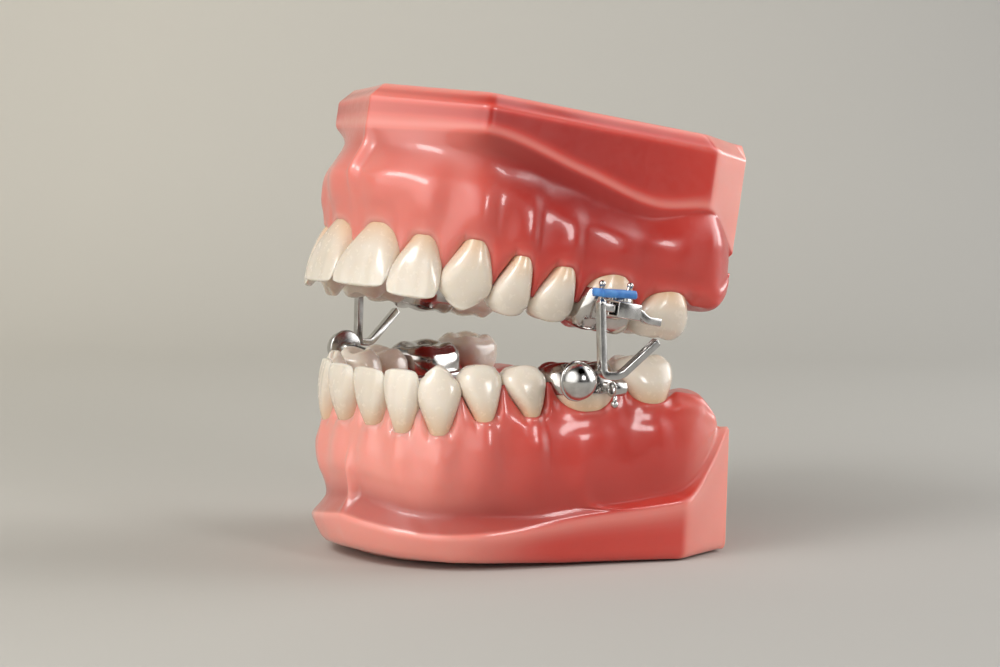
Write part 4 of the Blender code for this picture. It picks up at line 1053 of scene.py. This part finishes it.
def floorPaint(look):
    made = Nodes("paleFloor")
    # Painted light and shade: lighter and warmer on the camera's left, darker and cooler on its right, darker near
    # the camera
    parts = made.add("ShaderNodeSeparateXYZ")
    made.link(made.coordinates, parts.inputs["Vector"])
    across = made.add("ShaderNodeMath", operation="ADD")
    made.link(parts.outputs["X"], across.inputs[0])
    made.link(parts.outputs["Y"], across.inputs[1])
    mixed = made.spread(across.outputs["Value"], 0.0, 1.0, -0.25, 0.25)
    colour = made.blend(mixed, look["floorLitWarm"], look["floorShadedCool"])
    away = made.add("ShaderNodeVectorMath", operation="DOT_PRODUCT")
    made.link(made.coordinates, away.inputs[0])
    away.inputs[1].default_value = (-0.785, 0.62, 0.3)
    lighter = made.add("ShaderNodeMix", data_type="RGBA", blend_type="MULTIPLY")
    lighter.inputs[0].default_value = 1.0
    made.link(colour, lighter.inputs[6])
    far = made.spread(away.outputs["Value"], 0.0, 1.0, -0.25, 0.45)
    made.link(made.blend(far, look["nearShade"], look["farShade"]), lighter.inputs[7])
    made.feed("Base Color", lighter.outputs[2])
    made.settings({"Roughness": 0.9})
    return made.material


def makeFloor(look):
    # A sheet that runs back under the model and bends up behind it
    back, bend = look["back"], look["bend"]
    profile = [(-look["front"], 0.0), (back - bend, 0.0)]
    profile += [(back - bend + bend * math.sin(a), bend - bend * math.cos(a))
                for a in np.linspace(0, math.pi / 2, 17)[1:]]
    profile += [(back, look["tall"])]
    azimuth = math.radians(photograph["azimuth"])
    away = np.array((-math.sin(azimuth), math.cos(azimuth)))
    across = np.array((away[1], -away[0]))
    points = []
    for run, rise in profile:
        for share in (-look["halfWide"], look["halfWide"]):
            xy = away * run + across * share
            points.append((xy[0], xy[1], rise - look["drop"]))
    faces = [(2 * i, 2 * i + 1, 2 * i + 3, 2 * i + 2) for i in range(len(profile) - 1)]
    mesh = bpy.data.meshes.new("paleFloor")
    mesh.from_pydata(points, [], faces)
    mesh.polygons.foreach_set("use_smooth", [True] * len(mesh.polygons))
    mesh.materials.append(floorPaint(look))
    floor = bpy.data.objects.new("paleFloor", mesh)
    bpy.context.scene.collection.objects.link(floor)


makeFloor(stageLook)

# Lamps: azimuth and elevation in degrees, distance, size and power
lighting = dict(aim=(0.0, 0.0, 0.036), height=0.035, lamps=(
    ("frontSpot", 8, 40, 0.45, (0.16, 0.12), 0.66),
    ("sideSpot", 90, 22, 0.45, (0.10, 0.11), 0.48),
    ("rimLight", 168, 16, 0.45, (0.16, 0.24), 0.65)))


def makeLamp(name, azimuth, elevation, distance, size, power):
    a, e = math.radians(azimuth), math.radians(elevation)
    position = (distance * math.sin(a) * math.cos(e), -distance * math.cos(a) * math.cos(e),
                lighting["height"] + distance * math.sin(e))
    light = bpy.data.lights.new(name, "AREA")
    light.shape, light.size, light.size_y = "RECTANGLE", size[0], size[1]
    light.energy = power
    made = bpy.data.objects.new(name, light)
    made.location = position
    made.visible_camera = False
    made.rotation_mode = "QUATERNION"
    made.rotation_quaternion = (Vector(lighting["aim"]) - Vector(position)).to_track_quat("-Z", "Y")
    bpy.context.scene.collection.objects.link(made)


for lamp in lighting["lamps"]:
    makeLamp(*lamp)

# A studio all round: a large soft light at the camera's left, one behind at the right, dark between
studio = dict(
    plain=(0.50, 0.49, 0.46), base=(0.16, 0.158, 0.152),
    lobes=(((0.90, 0.20, 0.38), 0.25, 0.9, (-0.13, -0.13, -0.125)),
           ((0.16, -0.88, 0.38), 0.62, 0.98, (1.8, 1.77, 1.71)),
           ((0.10, 0.92, 0.30), 0.62, 1.0, (4.6, 4.6, 4.6)),
           ((0.0, 0.0, 1.0), 0.5, 1.0, (-0.1, -0.1, -0.1))))


def makeStudio(look):
    sky = bpy.data.worlds.new("studio")
    sky.use_nodes = True
    nodes, link = sky.node_tree.nodes, sky.node_tree.links.new
    viewed, ray = nodes.new("ShaderNodeTexCoord"), nodes.new("ShaderNodeLightPath")
    base = nodes.new("ShaderNodeRGB")
    base.outputs[0].default_value = (*look["base"], 1.0)
    light = base.outputs[0]
    for direction, low, high, colour in look["lobes"]:
        facing, shade = nodes.new("ShaderNodeVectorMath"), nodes.new("ShaderNodeMapRange")
        facing.operation, shade.interpolation_type = "DOT_PRODUCT", "SMOOTHERSTEP"
        facing.inputs[1].default_value = Vector(direction).normalized()
        shade.inputs["From Min"].default_value, shade.inputs["From Max"].default_value = low, high
        added = nodes.new("ShaderNodeVectorMath")
        added.operation = "MULTIPLY_ADD"
        added.inputs[1].default_value = colour
        link(viewed.outputs["Generated"], facing.inputs[0])
        link(facing.outputs["Value"], shade.inputs["Value"])
        link(shade.outputs["Result"], added.inputs[0])
        link(light, added.inputs[2])
        light = added.outputs[0]
    seen = nodes.new("ShaderNodeMix")
    seen.data_type = "RGBA"
    seen.inputs[7].default_value = (*look["plain"], 1.0)
    link(ray.outputs["Is Camera Ray"], seen.inputs[0])
    link(light, seen.inputs[6])
    link(seen.outputs[2], nodes["Background"].inputs["Color"])
    bpy.context.scene.world = sky


makeStudio(studio)
bpy.context.scene.view_settings.view_transform = "Standard"


def makeCamera(look):
    azimuth, elevation, roll = [math.radians(look[key]) for key in ("azimuth", "elevation", "roll")]
    back = np.array((math.sin(azimuth) * math.cos(elevation), -math.cos(azimuth) * math.cos(elevation),
                     math.sin(elevation)))
    right = np.array((math.cos(azimuth), math.sin(azimuth), 0.0))
    up = np.cross(back, right)
    place = np.array(look["aim"]) + back * look["distance"] + right * look["right"] + up * look["up"]
    place = place * millimetre
    x = right * math.cos(roll) + up * math.sin(roll)
    y = -right * math.sin(roll) + up * math.cos(roll)
    lens = bpy.data.cameras.new("photoCamera")
    lens.lens, lens.sensor_width = look["lens"], look["sensor"]
    lens.clip_start, lens.clip_end = 0.01, 10.0
    camera = bpy.data.objects.new("photoCamera", lens)
    bpy.context.scene.collection.objects.link(camera)
    camera.matrix_world = Matrix([[x[i], y[i], back[i], place[i]] for i in range(3)] + [[0, 0, 0, 1]])
    bpy.context.scene.camera = camera


makeCamera(photograph)
print("stage: floor, lights and camera made")
